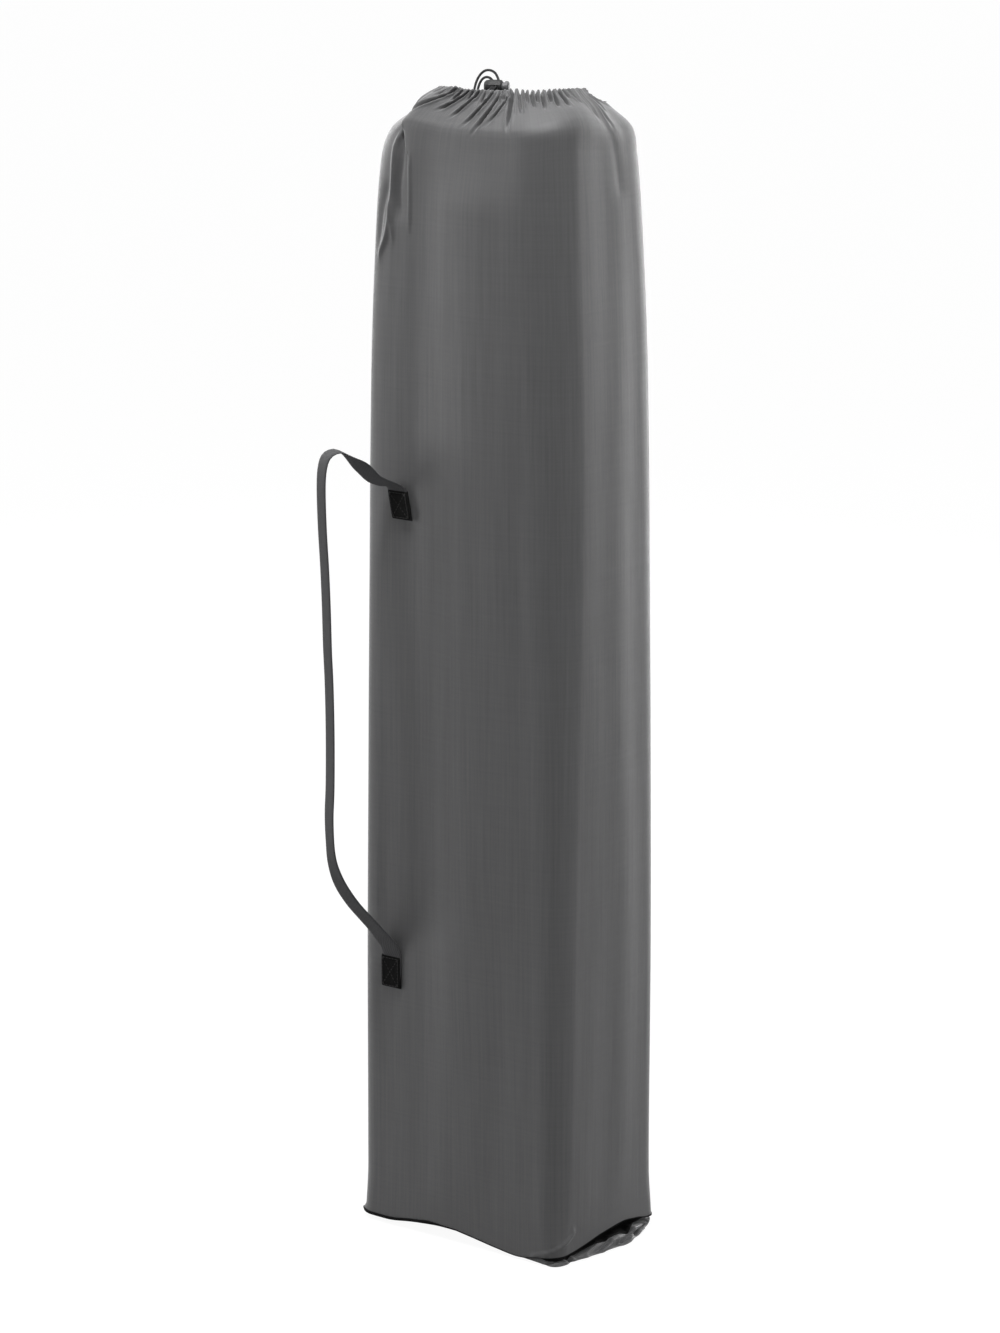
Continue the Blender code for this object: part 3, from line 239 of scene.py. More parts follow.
powder_coat = hard_finish("powder_coat_dark_grey", (0.040, 0.040, 0.043), (0.062, 0.062, 0.066), (0.36, 0.52),
                          0.0, 1400.0, 0.00008)
finish_nodes(("rail_", "leg_", "end_bar_"), powder_coat, ("rail_cap_", "leg_bracket_", "leg_pin_"))

# The frame's zinc-plated steel
# Fold channels, leg brackets, pins and rivets, bent or headed from steel and plated, so
# their grey shifts from patch to patch.

zinc = hard_finish("zinc_plate", (0.42, 0.43, 0.45), (0.66, 0.66, 0.65), (0.26, 0.46),
                   1.0, 500.0, 0.00003, 60.0)
finish_nodes(("fold_channel_", "fold_pin_", "cross_rivet_", "leg_bracket_", "leg_pin_"), zinc)

# The frame's plastic ends
# Rail caps and feet, moulded in black polypropylene with a fine spark-eroded grain.

black_plastic = hard_finish("black_plastic", (0.007, 0.007, 0.008), (0.014, 0.014, 0.015), (0.46, 0.60),
                            0.0, 2600.0, 0.00005, 40.0)
finish_nodes(("rail_cap_", "foot_cap_"), black_plastic)

# The bed's fabric
# Heavy dark woven polyester, folded into a pack of layers outside the rails, with sleeves
# round them and the end bars stored in its pockets.

# Plain weave with thick and thin yarns: its vector is the cloth's own UV in metres
weave_group, source, result = new_group(
    "plain_weave", {"Vector": (VECTOR, None), "Yarn Scale": (FLOAT, 600.0), "Streak Scale": (FLOAT, 700.0)},
    {"Weave": FLOAT, "Streaks": FLOAT, "Clouds": FLOAT})
place = source.outputs["Vector"]
warp, weft = (node(weave_group, "ShaderNodeTexWave", {"Vector": place, "Scale": source.outputs["Yarn Scale"]},
                   bands_direction=way) for way in ("X", "Y"))
streaks = []
for stretch in ((1.0, 0.018, 1.0), (0.018, 1.0, 1.0)):
    squeezed = node(weave_group, "ShaderNodeVectorMath", {0: place, 1: stretch}, operation="MULTIPLY")
    streaks.append(node(weave_group, "ShaderNodeTexNoise", {
        "Vector": squeezed.outputs[0], "Scale": source.outputs["Streak Scale"], "Detail": 3.0,
        "Roughness": 0.7}).outputs[0])
cloudy = node(weave_group, "ShaderNodeTexNoise", {"Vector": place, "Scale": 22.0, "Detail": 5.0})
WEFT_IN_STREAKS = 0.28
feed(weave_group, result, {
    "Weave": maths(weave_group, "MULTIPLY", warp.outputs["Fac"], weft.outputs["Fac"]),
    "Streaks": between(weave_group, WEFT_IN_STREAKS, *streaks), "Clouds": cloudy.outputs[0]})
# Tone that the cloth's colour turns to at its outline: a painted sheen
PAINTED_SHEEN_TONE = (0.62, 0.62, 0.63)


def cloth_finish(name, dark, light, roughness, yarn_scale, streak_scale, weave_bump, streak_bump, sheen):
    """A woven cloth: yarn relief, long uneven yarns, faint clouds, the shader's own sheen, and a painted
    sheen that lightens its colour towards its outline.
    """
    material, tree, shader = new_material(name)
    place = node(tree, "ShaderNodeUVMap", uv_map="UVMap").outputs[0]
    weave = node(tree, "ShaderNodeGroup", {"Vector": place, "Yarn Scale": yarn_scale,
                                           "Streak Scale": streak_scale}, node_tree=weave_group)
    streaks = weave.outputs["Streaks"]
    uneven = node(tree, "ShaderNodeMapRange", {"Value": streaks, "From Min": 0.32,
                                               "From Max": 0.68}).outputs[0]
    tone = tone_between(tree, between(tree, 0.3, uneven, weave.outputs["Clouds"]), dark, light)
    gloss = node(tree, "ShaderNodeMapRange", {"Value": uneven, "To Min": roughness[1],
                                              "To Max": roughness[0]})
    yarn = node(tree, "ShaderNodeBump", {"Height": weave.outputs["Weave"], "Distance": weave_bump,
                                         "Strength": 0.6})
    relief = node(tree, "ShaderNodeBump", {"Height": streaks, "Distance": streak_bump, "Strength": 0.6,
                                           "Normal": yarn.outputs[0]})
    # Painted sheen: the base colour lightens towards the outline, where the cloth is seen edge on
    facing = node(tree, "ShaderNodeLayerWeight", {"Blend": 0.5}).outputs["Facing"]
    painted_rim_sheen = maths(tree, "MULTIPLY", maths(tree, "POWER", facing, 5.0), 2.0 * sheen)
    feed(tree, shader, {"Base Color": tone_between(tree, painted_rim_sheen, tone, PAINTED_SHEEN_TONE),
                        "Roughness": gloss.outputs[0], "Normal": relief.outputs[0],
                        "Sheen Weight": sheen, "Sheen Roughness": 0.4})
    return material


# Its colour lightens towards its outline: a painted sheen
bed_cloth = cloth_finish("bed_cloth", (0.020, 0.029, 0.045), (0.034, 0.048, 0.070), (0.7, 0.85), 420.0, 500.0,
                         0.00018, 0.00012, 0.2)

# The folded pack: half width, half depth, foot, top, radius of its foot's edges, and its layers
BED_REACH = 0.0918
BED_HALF_Y = 0.0548
BED_FLOOR_Z = 0.0018
BED_TOP_Z = 0.9210
BED_CORNER = 0.0140
BED_LAYER = 0.0008
BED_LAYERS = 3
RAIL_X = 0.078
RAIL_Y = 0.044
# The layers swell over the rails and the end bars: half width, rise, and the heights it grows between
RAIL_SWELL = (0.008, 0.0009, 0.04, 0.09)
BAR_SWELL = (0.008, 0.0006, 0.30, 0.36)
# The sleeves: half width, half depth and corner radius where they start and end, and their turns
SLEEVE_INNER = (0.0109, 0.0549, 0.0109)
SLEEVE_OUTER = (0.0116, 0.0554, 0.0116)
SLEEVE_TURNS = 1.75
SLEEVE_FOOT_Z = 0.0556
SLEEVE_TOP_Z = BED_TOP_Z - 0.0015
# Between a rail and the end bar the sleeve's inner side is pinched: place, half width and depth
SLEEVE_PINCH = (0.022, 0.0065, 0.0034)
# Windows of the sleeves round the leg brackets: X, Y and Z, each from and to
BRACKET_WINDOW = ((0.0598, 0.0865), (0.0306, 0.0572), (0.853, 0.891))
# The fabric's end under the channels: half width, half depth, lowest fold, pitch and folds
STACK_REACH = 0.082
STACK_HALF_Y = 0.0536
STACK_FOOT_Z = 0.0055
STACK_STEP = 0.0025
STACK_LEVELS = 6


def soft_step(value, start=0.0, end=1.0):
    """0 before start, 1 after end, and a smooth rise between them."""
    t = np.clip((value - start) / (end - start), 0.0, 1.0)
    return t * t * (3 - 2 * t)


def unit(vectors):
    """Vectors scaled to a length of one."""
    return vectors / np.maximum(np.linalg.norm(vectors, axis=-1, keepdims=True), 1e-9)


def distance_along(line):
    """Distance of each point of a line from its first point, along the line."""
    return np.concatenate([[0.0], np.cumsum(np.linalg.norm(np.diff(line, axis=0), axis=1))])


def read_along(line, wanted):
    """Points of a line at wanted distances from its first point."""
    length = distance_along(line)
    return np.column_stack([np.interp(wanted, length, values) for values in line.T])


def grid_of(x, y, z):
    """A grid of points from X, Y and Z, each a row, a column or a whole grid."""
    return np.stack(np.broadcast_arrays(x, y, z), axis=-1)


def rounded_outline(half_x, half_y, corner, shares, shift=(0.0, 0.0)):
    """Rounded rectangle read at shares of its length, from the middle of the front to the right."""
    turn = np.radians(np.arange(0.0, 91.0, 3.0))
    points = [np.array([[0.0, -half_y]])]
    for x, y, start in ((1, -1, -90), (1, 1, 0), (-1, 1, 90), (-1, -1, 180)):
        angle = math.radians(start) + turn
        centre = np.array([x * (half_x - corner), y * (half_y - corner)])
        points.append(centre + corner * np.stack([np.cos(angle), np.sin(angle)], axis=1))
    points.append(points[0])
    line = np.concatenate(points)
    length = distance_along(line)[-1]
    return read_along(line, np.mod(shares, 1.0) * length) + np.array(shift), length


def add_grids(name, grids, material, left_out=None):
    """A mesh of quads over grids of points, each (points, across, along, is a ring), with UV in metres."""
    points, quads, corners = [], [], []
    first = 0
    for grid, across, along, ring in grids:
        rows, columns = grid.shape[:2]
        span = columns if ring else columns - 1
        index = first + np.arange(rows * columns).reshape(rows, columns)
        first += rows * columns
        left, right = index[:, :span], np.roll(index, -1, axis=1)[:, :span]
        points.append(grid.reshape(-1, 3))
        quads.append(np.stack([left[:-1], right[:-1], right[1:], left[1:]], axis=-1).reshape(-1, 4))
        u = np.broadcast_to(across, (rows, span + 1))
        v = np.broadcast_to(along[:, None], (rows, span + 1))
        uv = [np.stack([m[:-1, :-1], m[:-1, 1:], m[1:, 1:], m[1:, :-1]], axis=-1) for m in (u, v)]
        corners.append(np.stack(uv, axis=-1).reshape(-1, 4, 2))
    points, quads, corners = (np.concatenate(parts) for parts in (points, quads, corners))
    if left_out is not None:
        kept = ~left_out(points[quads].mean(axis=1))
        quads, corners = quads[kept], corners[kept]
        used, places = np.unique(quads, return_inverse=True)
        points, quads = points[used], places.reshape(-1, 4)
    mesh = bpy.data.meshes.new(name)
    mesh.from_pydata(points.tolist(), [], quads.tolist())
    mesh.uv_layers.new(name="UVMap").data.foreach_set("uv", corners.reshape(-1).astype(np.float32))
    mesh.shade_smooth()
    mesh.materials.append(material)
    piece = bpy.data.objects.new(name, mesh)
    bpy.context.collection.objects.link(piece)
    return piece


def add_grid(name, points, across, along, material, ring=True):
    """A mesh of quads over one grid of points, closed to a ring unless ring is False."""
    return add_grids(name, [(points, across, along, ring)], material)


def to_and_fro(reach, step, levels, count, bends):
    """A line that runs to and fro between -reach and reach, one step further on after each bend."""
    line = []
    for level in range(levels):
        way = 1.0 if level % 2 == 0 else -1.0
        line += [(way * x, level * step) for x in np.linspace(-reach, reach, count)]
        if level < levels - 1:
            line += [(way * (reach + step / 2 * math.sin(angle)),
                      step * (level + 0.5 - 0.5 * math.cos(angle))) for angle in bends]
    return np.array(line)


def swelling(aside, z, half_width, rise, start, end):
    """How far the cloth swells at a distance aside from a tube that lies under it."""
    return rise * np.exp(-(aside / half_width) ** 2) * soft_step(z, start, end)


def bed_folds():
    """The outer layers: down one side, under the fold channels and up the other, folded over at the edges."""
    turn = np.radians(np.linspace(0.0, 90.0, 10))
    reach, low = BED_REACH - BED_CORNER, BED_FLOOR_Z + BED_CORNER
    down = np.column_stack([np.full(70, -BED_REACH), np.linspace(BED_TOP_Z, low, 70)])
    corner = np.column_stack([-reach - BED_CORNER * np.cos(turn), low - BED_CORNER * np.sin(turn)])
    half = np.concatenate([down[:-1], corner, [[0.6 * -reach, BED_FLOOR_Z], [0.2 * -reach, BED_FLOOR_Z]]])
    path = np.concatenate([half, half[::-1] * np.array([-1.0, 1.0])])
    ahead = np.gradient(path, axis=0)
    inward = unit(np.stack([-ahead[:, 1], ahead[:, 0]], axis=1))
    y, depth = to_and_fro(BED_HALF_Y, BED_LAYER, BED_LAYERS, 30, (0.8, 1.57, 2.34)).T
    z = path[:, 1:]
    creased = 0.0004 * np.sin(61 * z + 40 * y) * np.sin(23 * z + 1.3) + 0.0003 * np.sin(160 * y + 9 * z)
    inset = depth - swelling(np.abs(y) - RAIL_Y, z, *RAIL_SWELL) - swelling(y, z, *BAR_SWELL) + creased
    points = grid_of(path[:, :1] + inward[:, :1] * inset, y, z + inward[:, 1:] * inset)
    points[:, :, 2] += 0.0010 * np.sin(90 * y) * soft_step(z, 0.90, BED_TOP_Z)
    return points, distance_along(np.column_stack([y, depth])), distance_along(path), False


def bed_sleeve(side):
    """The sleeves of one half: wound nearly twice round its two rails and its end bar."""
    turns = np.linspace(0.0, SLEEVE_TURNS, 190)
    inner, length = rounded_outline(*SLEEVE_INNER, turns)
    outer, length = rounded_outline(*SLEEVE_OUTER, turns)
    x, y = (inner + (outer - inner) * (turns / SLEEVE_TURNS)[:, None]).T
    facing_in = x * side < 0
    pinch_y, pinch_reach, pinch_depth = SLEEVE_PINCH
    pinch = pinch_depth * np.exp(-((np.abs(y) - pinch_y) / pinch_reach) ** 2)
    x = x + side * np.where(facing_in, pinch, 0.0)
    z = np.linspace(SLEEVE_FOOT_Z, SLEEVE_TOP_Z, 120)[:, None]
    sag = 0.0005 * np.sin(38 * z + 9 * turns) * np.where(facing_in, 1.0, 0.2)
    points = grid_of(side * (RAIL_X - np.abs(sag)) + x, y, z + 0.0008 * np.sin(7 * turns))
    return points, turns * length, z[:, 0], False


def bed_stack():
    """The fabric's end, folded to and fro under the fold channels."""
    path = to_and_fro(STACK_REACH, STACK_STEP, STACK_LEVELS, 16, (0.6, 1.2, 1.9, 2.5)) + [0.0, STACK_FOOT_Z]
    y = np.linspace(-STACK_HALF_Y, STACK_HALF_Y, 26)
    soft = 0.0005 * np.sin(70 * path[:, :1] + 50 * y)
    return grid_of(path[:, :1], y, path[:, 1:] + soft), y + STACK_HALF_Y, distance_along(path), False


def in_bracket_window(centres):
    """Whether quads lie where the sleeves are cut out round the leg brackets."""
    return np.all([(np.abs(centres[:, axis]) > low) & (np.abs(centres[:, axis]) < high)
                   for axis, (low, high) in enumerate(BRACKET_WINDOW)], axis=0)


bed = add_grids("bed_cloth_folded", [bed_folds(), bed_sleeve(1.0), bed_sleeve(-1.0), bed_stack()],
                bed_cloth, in_bracket_window)
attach(bed, "cot")
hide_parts("bed_fabric")

# The bag's tube and gathered mouth
# One piece of grey polyester with a faint satin face, sewn into a tube. It tapers to the
# packed cot's top edge, turns over it and ends in a folded hem, gathered by the drawcord.

COLUMNS = 640
BAG_HEIGHTS = {
    # height: half width, half depth and corner radius
    0.000: (0.1085, 0.0745, 0.0140), 0.050: (0.1085, 0.0745, 0.0200), 0.250: (0.1087, 0.0747, 0.0225),
    0.435: (0.1087, 0.0747, 0.0275), 0.655: (0.1082, 0.0745, 0.0330), 0.757: (0.1068, 0.0742, 0.0340),
    0.808: (0.1052, 0.0738, 0.0340), 0.858: (0.1029, 0.0731, 0.0340), 0.908: (0.1006, 0.0722, 0.0350),
    0.9345: (0.0988, 0.0715, 0.0355), 0.9475: (0.0978, 0.0711, 0.0360), 0.957: (0.0968, 0.0707, 0.0362),
    0.9635: (0.0952, 0.0703, 0.0368), 0.9685: (0.0922, 0.0692, 0.0380), 0.974: (0.0874, 0.0657, 0.0400),
    0.981: (0.0818, 0.0608, 0.0420), 0.987: (0.0766, 0.0570, 0.0440), 0.993: (0.0710, 0.0526, 0.0460),
    1.000: (0.0645, 0.0490, 0.0470),
}
# The mouth lies a little right of the bag's middle and further back, above this height
MOUTH_SHIFT = np.array([0.0030, 0.0025])
MOUTH_SHIFT_FROM = 0.9475
RIM_Z = 1.000
# How far the cloth at the back stands out and is lifted, so that the cord lock lies on it
BACK_FULLNESS = {0.9475: 0.0, 0.962: 0.0008, 0.968: 0.0020, 0.974: 0.0045, 0.981: 0.0058, 0.987: 0.0044,
                 0.993: 0.0016, 1.000: 0.0004}
BACK_LIFT = {0.955: 0.0, 0.968: 0.0016, 0.974: 0.0030, 0.981: 0.0024, 0.987: -0.0036, 0.993: -0.0096,
             1.000: -0.0150}
# How much of the lift each place round the mouth gets, by share of the way round
LIFT_SHARES = {0.0: 0.0, 0.30: 0.0, 0.335: 0.10, 0.37: 0.50, 0.42: 0.95, 0.50: 1.0, 0.60: 0.95, 0.68: 0.78,
               0.75: 0.72, 0.80: 0.60, 0.825: 0.44, 0.85: 0.26, 0.88: 0.16, 0.91: 0.10, 0.95: 0.0, 1.0: 0.0}


def curve_through(wanted, places, values):
    """Values read from a smooth curve through pairs of place and value, which never overshoots."""
    places, values = np.array(places, float), np.array(values, float)
    step = np.diff(places)
    slope = np.diff(values) / step
    tangent = np.zeros(len(values))
    product = slope[:-1] * slope[1:]
    total = np.where(product > 0, slope[:-1] + slope[1:], 1.0)
    tangent[1:-1] = np.where(product > 0, 2 * product / total, 0.0)
    tangent[0], tangent[-1] = slope[0], slope[-1]
    at = np.clip(np.searchsorted(places, wanted) - 1, 0, len(step) - 1)
    t = np.clip((wanted - places[at]) / step[at], 0.0, 1.0)
    return ((1 + 2 * t) * (1 - t) ** 2 * values[at] + t * (1 - t) ** 2 * step[at] * tangent[at]
            + t * t * (3 - 2 * t) * values[at + 1] + t * t * (t - 1) * step[at] * tangent[at + 1])


def from_table(table, wanted):
    """Values read from a table of places and values through a smooth curve."""
    places = sorted(table)
    return curve_through(np.asarray(wanted, float), places, [table[place] for place in places])


def face_normals(grid):
    """Outward normals of a grid of points whose rows are closed rings, from the bottom up."""
    across = np.roll(grid, -1, axis=1) - np.roll(grid, 1, axis=1)
    return unit(np.cross(across, np.gradient(grid, axis=0)))


def mean_height_along(grid):
    """Mean distance of each row of a grid from its first row, along the surface."""
    steps = np.linalg.norm(np.diff(grid, axis=0), axis=2).mean(axis=1)
    return np.concatenate([[0.0], np.cumsum(steps)])


def apart(shares, centre):
    """Signed distance between shares of a ring, from -0.5 to 0.5."""
    return np.mod(shares - centre + 0.5, 1.0) - 0.5


# Heights of the seam between the tube and the bottom panel, by share of the way round
SEAM_HEIGHTS = {
    0.00: 0.0108, 0.03: 0.0080, 0.06: 0.0050, 0.095: 0.0026, 0.126: 0.0062, 0.150: 0.0082, 0.170: 0.0088,
    0.196: 0.0108, 0.236: 0.0150, 0.275: 0.0166, 0.310: 0.0130, 0.336: 0.0085, 0.38: 0.0065, 0.55: 0.0060,
    0.70: 0.0070, 0.84: 0.0050, 0.89: 0.0045, 0.93: 0.0080, 0.97: 0.0110, 1.00: 0.0108,
}

shares = np.arange(COLUMNS) / COLUMNS
heights = sorted(BAG_HEIGHTS)
sections = np.array([BAG_HEIGHTS[level] for level in heights])
levels = np.concatenate([np.linspace(0.0, 0.06, 30)[:-1], np.linspace(0.06, 0.80, 34)[:-1],
                         np.linspace(0.80, 0.935, 50)[:-1], np.linspace(0.935, RIM_Z, 76)])
rows = []
girths = []
for level in levels:
    half_x, half_y, corner = (float(curve_through(level, heights, part)) for part in sections.T)
    shifted = max(0.0, (level - MOUTH_SHIFT_FROM) / (RIM_Z - MOUTH_SHIFT_FROM))
    outline, girth = rounded_outline(half_x, half_y, corner, shares, shifted * MOUTH_SHIFT)
    outline[:, 1] += from_table(BACK_FULLNESS, level) * soft_step(outline[:, 1], 0.2 * half_y, 0.9 * half_y)
    z = level + from_table(BACK_LIFT, level) * from_table(LIFT_SHARES, shares)
    rows.append(np.column_stack([outline, z]))
    girths.append(girth)
tube = np.array(rows)
girth = np.array(girths)[:, None]
level_column = levels[:, None]
tube[:, :, 2] += from_table(SEAM_HEIGHTS, shares) * (1.0 - soft_step(level_column, 0.0, 0.075))
# The turnover line stands higher where the cot's hard corners hold the cloth up
CORNER_RISE = {0.0: 0.0, 0.08: 0.0, 0.12: 0.0035, 0.155: 0.0075, 0.19: 0.0085, 0.23: 0.0060, 0.27: 0.0026,
               0.31: 0.0, 0.86: 0.0, 0.886: 0.0020, 0.91: 0.0040, 0.94: 0.0026, 0.97: 0.0008, 1.0: 0.0}
tube[:, :, 2] += (from_table(CORNER_RISE, shares) * soft_step(level_column, 0.910, 0.9620)
                  * (1.0 - soft_step(level_column, 0.9685, 0.996)))
# The rim dips a little where it is gathered most tightly
RIM_DIP = {0.0: 0.0018, 0.05: 0.0010, 0.09: 0.0, 0.12: 0.0006, 0.17: 0.0018, 0.195: 0.0016, 0.215: 0.0012,
           0.25: 0.0010, 0.28: 0.0026, 0.32: 0.0036, 0.355: 0.0020, 0.40: 0.0, 0.85: 0.0, 0.93: 0.0,
           0.97: 0.0016, 1.0: 0.0018}
tube[:, :, 2] -= from_table(RIM_DIP, shares) * soft_step(level_column, 0.978, RIM_Z)

# Distance below the rim along the cloth, and the height, of every point
steps_up = np.linalg.norm(np.diff(tube, axis=0), axis=2)
below = np.concatenate([np.cumsum(steps_up[::-1], axis=0)[::-1], np.zeros((1, COLUMNS))])
height = tube[:, :, 2]
push = np.zeros_like(height)
sideways = np.zeros_like(height)

# Gathers: the share and the distance below the rim where each crease starts and ends, its depth
# and its half width
CREASES = [
    ((-0.104, 0.000), (-0.112, 0.010), 0.0012, 0.0012), ((-0.082, 0.000), (-0.094, 0.012), 0.0020, 0.0012),
    ((-0.056, 0.000), (-0.111, 0.034), 0.0046, 0.0016), ((-0.040, 0.000), (-0.050, 0.014), 0.0026, 0.0011),
    ((-0.020, 0.000), (-0.061, 0.024), 0.0052, 0.0015), ((-0.008, 0.000), (-0.014, 0.009), 0.0030, 0.0010),
    ((0.010, 0.000), (-0.028, 0.027), 0.0052, 0.0014), ((0.026, 0.000), (0.023, 0.012), 0.0034, 0.0011),
    ((0.046, 0.001), (0.003, 0.034), 0.0054, 0.0014), ((0.064, 0.004), (0.024, 0.040), 0.0056, 0.0015),
    ((0.086, 0.006), (0.046, 0.033), 0.0044, 0.0013), ((0.070, 0.000), (0.076, 0.010), 0.0040, 0.0012),
    ((0.094, 0.000), (0.086, 0.042), 0.0054, 0.0015), ((0.109, 0.000), (0.111, 0.026), 0.0060, 0.0013),
    ((0.121, 0.000), (0.122, 0.012), 0.0036, 0.0009), ((0.132, 0.000), (0.134, 0.019), 0.0062, 0.0012),
    ((0.1445, 0.000), (0.140, 0.012), 0.0044, 0.0010), ((0.156, 0.000), (0.151, 0.023), 0.0060, 0.0012),
    ((0.169, 0.000), (0.170, 0.013), 0.0050, 0.0010), ((0.180, 0.000), (0.177, 0.021), 0.0062, 0.0012),
    ((0.194, 0.000), (0.197, 0.021), 0.0064, 0.0013), ((0.207, 0.000), (0.213, 0.010), 0.0030, 0.0010),
    ((0.222, 0.000), (0.232, 0.016), 0.0020, 0.0012), ((0.252, 0.000), (0.250, 0.034), 0.0018, 0.0016),
    ((0.280, 0.004), (0.276, 0.042), 0.0026, 0.0018), ((0.300, 0.000), (0.302, 0.024), 0.0030, 0.0014),
]
# The side away from the photograph is gathered evenly, between these shares
FAR_SIDE_FROM, FAR_SIDE_TO = 0.316, 0.835
rng = np.random.default_rng(11)
share = FAR_SIDE_FROM
while share < FAR_SIDE_TO:
    CREASES.append(((share, 0.0), (share + rng.uniform(-0.022, 0.022), rng.uniform(0.012, 0.042)),
                    rng.uniform(0.0030, 0.0060), rng.uniform(0.0011, 0.0016)))
    share += rng.uniform(0.011, 0.019)
# Each is a narrow valley between two low ridges, which widens and fades out as it runs down
CREASE_NARROWED = 0.66
CREASE_RIDGE = 0.34
for (start, start_below), (end, end_below), depth, half_width in CREASES:
    run = (below - start_below) / (end_below - start_below)
    centre = start + (end - start) * np.clip(run, 0.0, 1.2)
    width = CREASE_NARROWED * half_width * (1.0 + 0.7 * np.clip(run, 0.0, 1.0))
    near = np.abs(apart(shares, centre)) * girth / width
    fade = (1.0 - soft_step(run, 0.45, 1.10)) * soft_step(run, -0.25, 0.15 if start_below else -0.24)
    push += depth * fade * (CREASE_RIDGE * np.exp(-(near - 2.1) ** 2) - np.exp(-near ** 2))

# Fine ruffle of the hem
RUFFLE_DEPTH = 0.0006
round_once = 2 * math.pi * shares
ruffle = np.sin(71 * round_once + 1.7 * np.sin(5 * round_once)) * (0.6 + 0.4 * np.sin(13 * round_once + 0.8))
push += RUFFLE_DEPTH * ruffle * (1.0 - soft_step(below, 0.006, 0.017))

# The front lobe of the left shoulder stands proud: the cloth left of its edge lies further in
LOBE_EDGE = {0.905: -0.0780, 0.9409: -0.0797, 0.9515: -0.0906, 0.9635: -0.0985, 0.9734: -0.1094,
             0.978: -0.1140, 0.985: -0.1180, 1.000: -0.1230}
LOBE_STEP = {0.900: 0.0, 0.920: 0.0004, 0.941: 0.0012, 0.950: 0.0020, 0.958: 0.0034, 0.963: 0.0046,
             0.969: 0.0064, 0.972: 0.0074, 0.975: 0.0084, 0.978: 0.0086, 0.981: 0.0070, 0.983: 0.0044,
             0.985: 0.0020, 0.990: 0.0, 1.000: 0.0}
past_edge = apart(from_table(LOBE_EDGE, height), shares) * girth
sideways -= from_table(LOBE_STEP, height) * soft_step(past_edge, -0.0006, 0.0034) * (
    1.0 - soft_step(past_edge, 0.034, 0.070))

# The right shoulder draws in behind the near corner's lobe
RIGHT_DRAW = {0.940: 0.0, 0.953: 0.0006, 0.960: 0.0012, 0.966: 0.0020, 0.970: 0.0028, 0.974: 0.0040,
              0.977: 0.0050, 0.980: 0.0058, 0.983: 0.0062, 0.986: 0.0062, 0.989: 0.0058, 0.992: 0.0050,
              0.995: 0.0036, 1.000: 0.0010}
sideways -= from_table(RIGHT_DRAW, height) * soft_step(shares, 0.262, 0.312) * (
    1.0 - soft_step(shares, 0.36, 0.46))

# Folds: heights with the share that each passes there, half width and rise
FOLDS = [
    ([(0.9409, -0.0797), (0.9038, -0.0781), (0.885, -0.0780)], 0.0013, 0.0014),
    ([(0.9620, -0.1060), (0.9504, -0.1078), (0.9281, -0.1078), (0.9004, -0.1094), (0.8762, -0.1156),
      (0.8588, -0.1281)], 0.0020, 0.0030),
    ([(0.9020, -0.1090), (0.8900, -0.1072), (0.8740, -0.1044)], 0.0018, 0.0020),
    ([(0.9640, -0.1010), (0.9397, -0.0960), (0.9177, -0.0985), (0.8935, -0.0969)], 0.0040, -0.0036),
    ([(0.9150, -0.1200), (0.8931, -0.1290), (0.8680, -0.1340)], 0.0034, -0.0020),
    ([(0.9850, -0.1150), (0.9734, -0.1125), (0.9635, -0.1010), (0.9515, -0.0925)], 0.0016, -0.0022),
    ([(0.985, 0.250), (0.970, 0.262), (0.945, 0.275), (0.915, 0.280)], 0.0060, -0.0012),
    ([(0.0070, 0.118), (0.0110, 0.136), (0.0170, 0.155), (0.0260, 0.176)], 0.0018, 0.0017),
]
FOLD_FADE = 0.010
for path, half_width, rise in FOLDS:
    path = sorted(path)
    centre = curve_through(height, *zip(*path))
    side = apart(shares, centre) * girth
    fade = soft_step(height, path[0][0] - FOLD_FADE, path[0][0] + FOLD_FADE) * (
        1.0 - soft_step(height, path[-1][0] - FOLD_FADE * 0.5, path[-1][0] + FOLD_FADE))
    push += rise * fade * np.exp(-(side / half_width) ** 2 / (1 + np.abs(side) / (2 * half_width)))

# Soft lobes: share, height, reach along the ring, reach in height, and rise
LOBES = [
    (-0.116, 0.988, 0.018, 0.009, 0.0046), (0.225, 0.980, 0.020, 0.012, 0.0016),
    (0.252, 0.450, 0.062, 0.500, 0.0060), (-0.154, 0.007, 0.0050, 0.0030, 0.0020),
    (0.120, 0.975, 0.060, 0.012, 0.0010),
]
for share, z, reach, rise_z, rise in LOBES:
    side = apart(shares, share) * girth
    push += rise * np.exp(-(side / reach) ** 2 - ((height - z) / rise_z) ** 2)

# The front fills out softly over the folded cot
FRONT_PILLOW = {-0.5: 0.0, -0.145: 0.0, -0.110: -0.0012, -0.070: -0.0012, -0.035: 0.0008, -0.005: 0.0048,
                0.022: 0.0068, 0.048: 0.0064, 0.080: 0.0042, 0.108: 0.0018, 0.135: 0.0, 0.5: 0.0}
push += (from_table(FRONT_PILLOW, apart(shares, 0.0)) * soft_step(height, 0.10, 0.36)
         * (1.0 - soft_step(height, 0.90, 0.955)))

# Long soft waves of the hanging cloth: how many go round, phase, depth, and how they wander with height
WAVES = [(7, 0.4, 0.00045, 0.5, 4.2), (11, 2.1, 0.00034, 0.7, 6.3), (17, 4.4, 0.00020, 0.9, 9.0),
         (5, 1.2, 0.00050, 0.4, 2.4)]
waves = np.zeros_like(height)
for count, phase, depth, wander, rate in WAVES:
    waves += depth * np.sin(count * round_once + phase + wander * np.sin(rate * height + phase * 2))
push += waves * soft_step(height, 0.01, 0.08) * (1.0 - 0.6 * soft_step(height, 0.955, 0.985))

normals = face_normals(tube)
level_normals = unit(normals * np.array([1.0, 1.0, 0.0]))
tube = tube + normals * push[:, :, None] + level_normals * sideways[:, :, None]

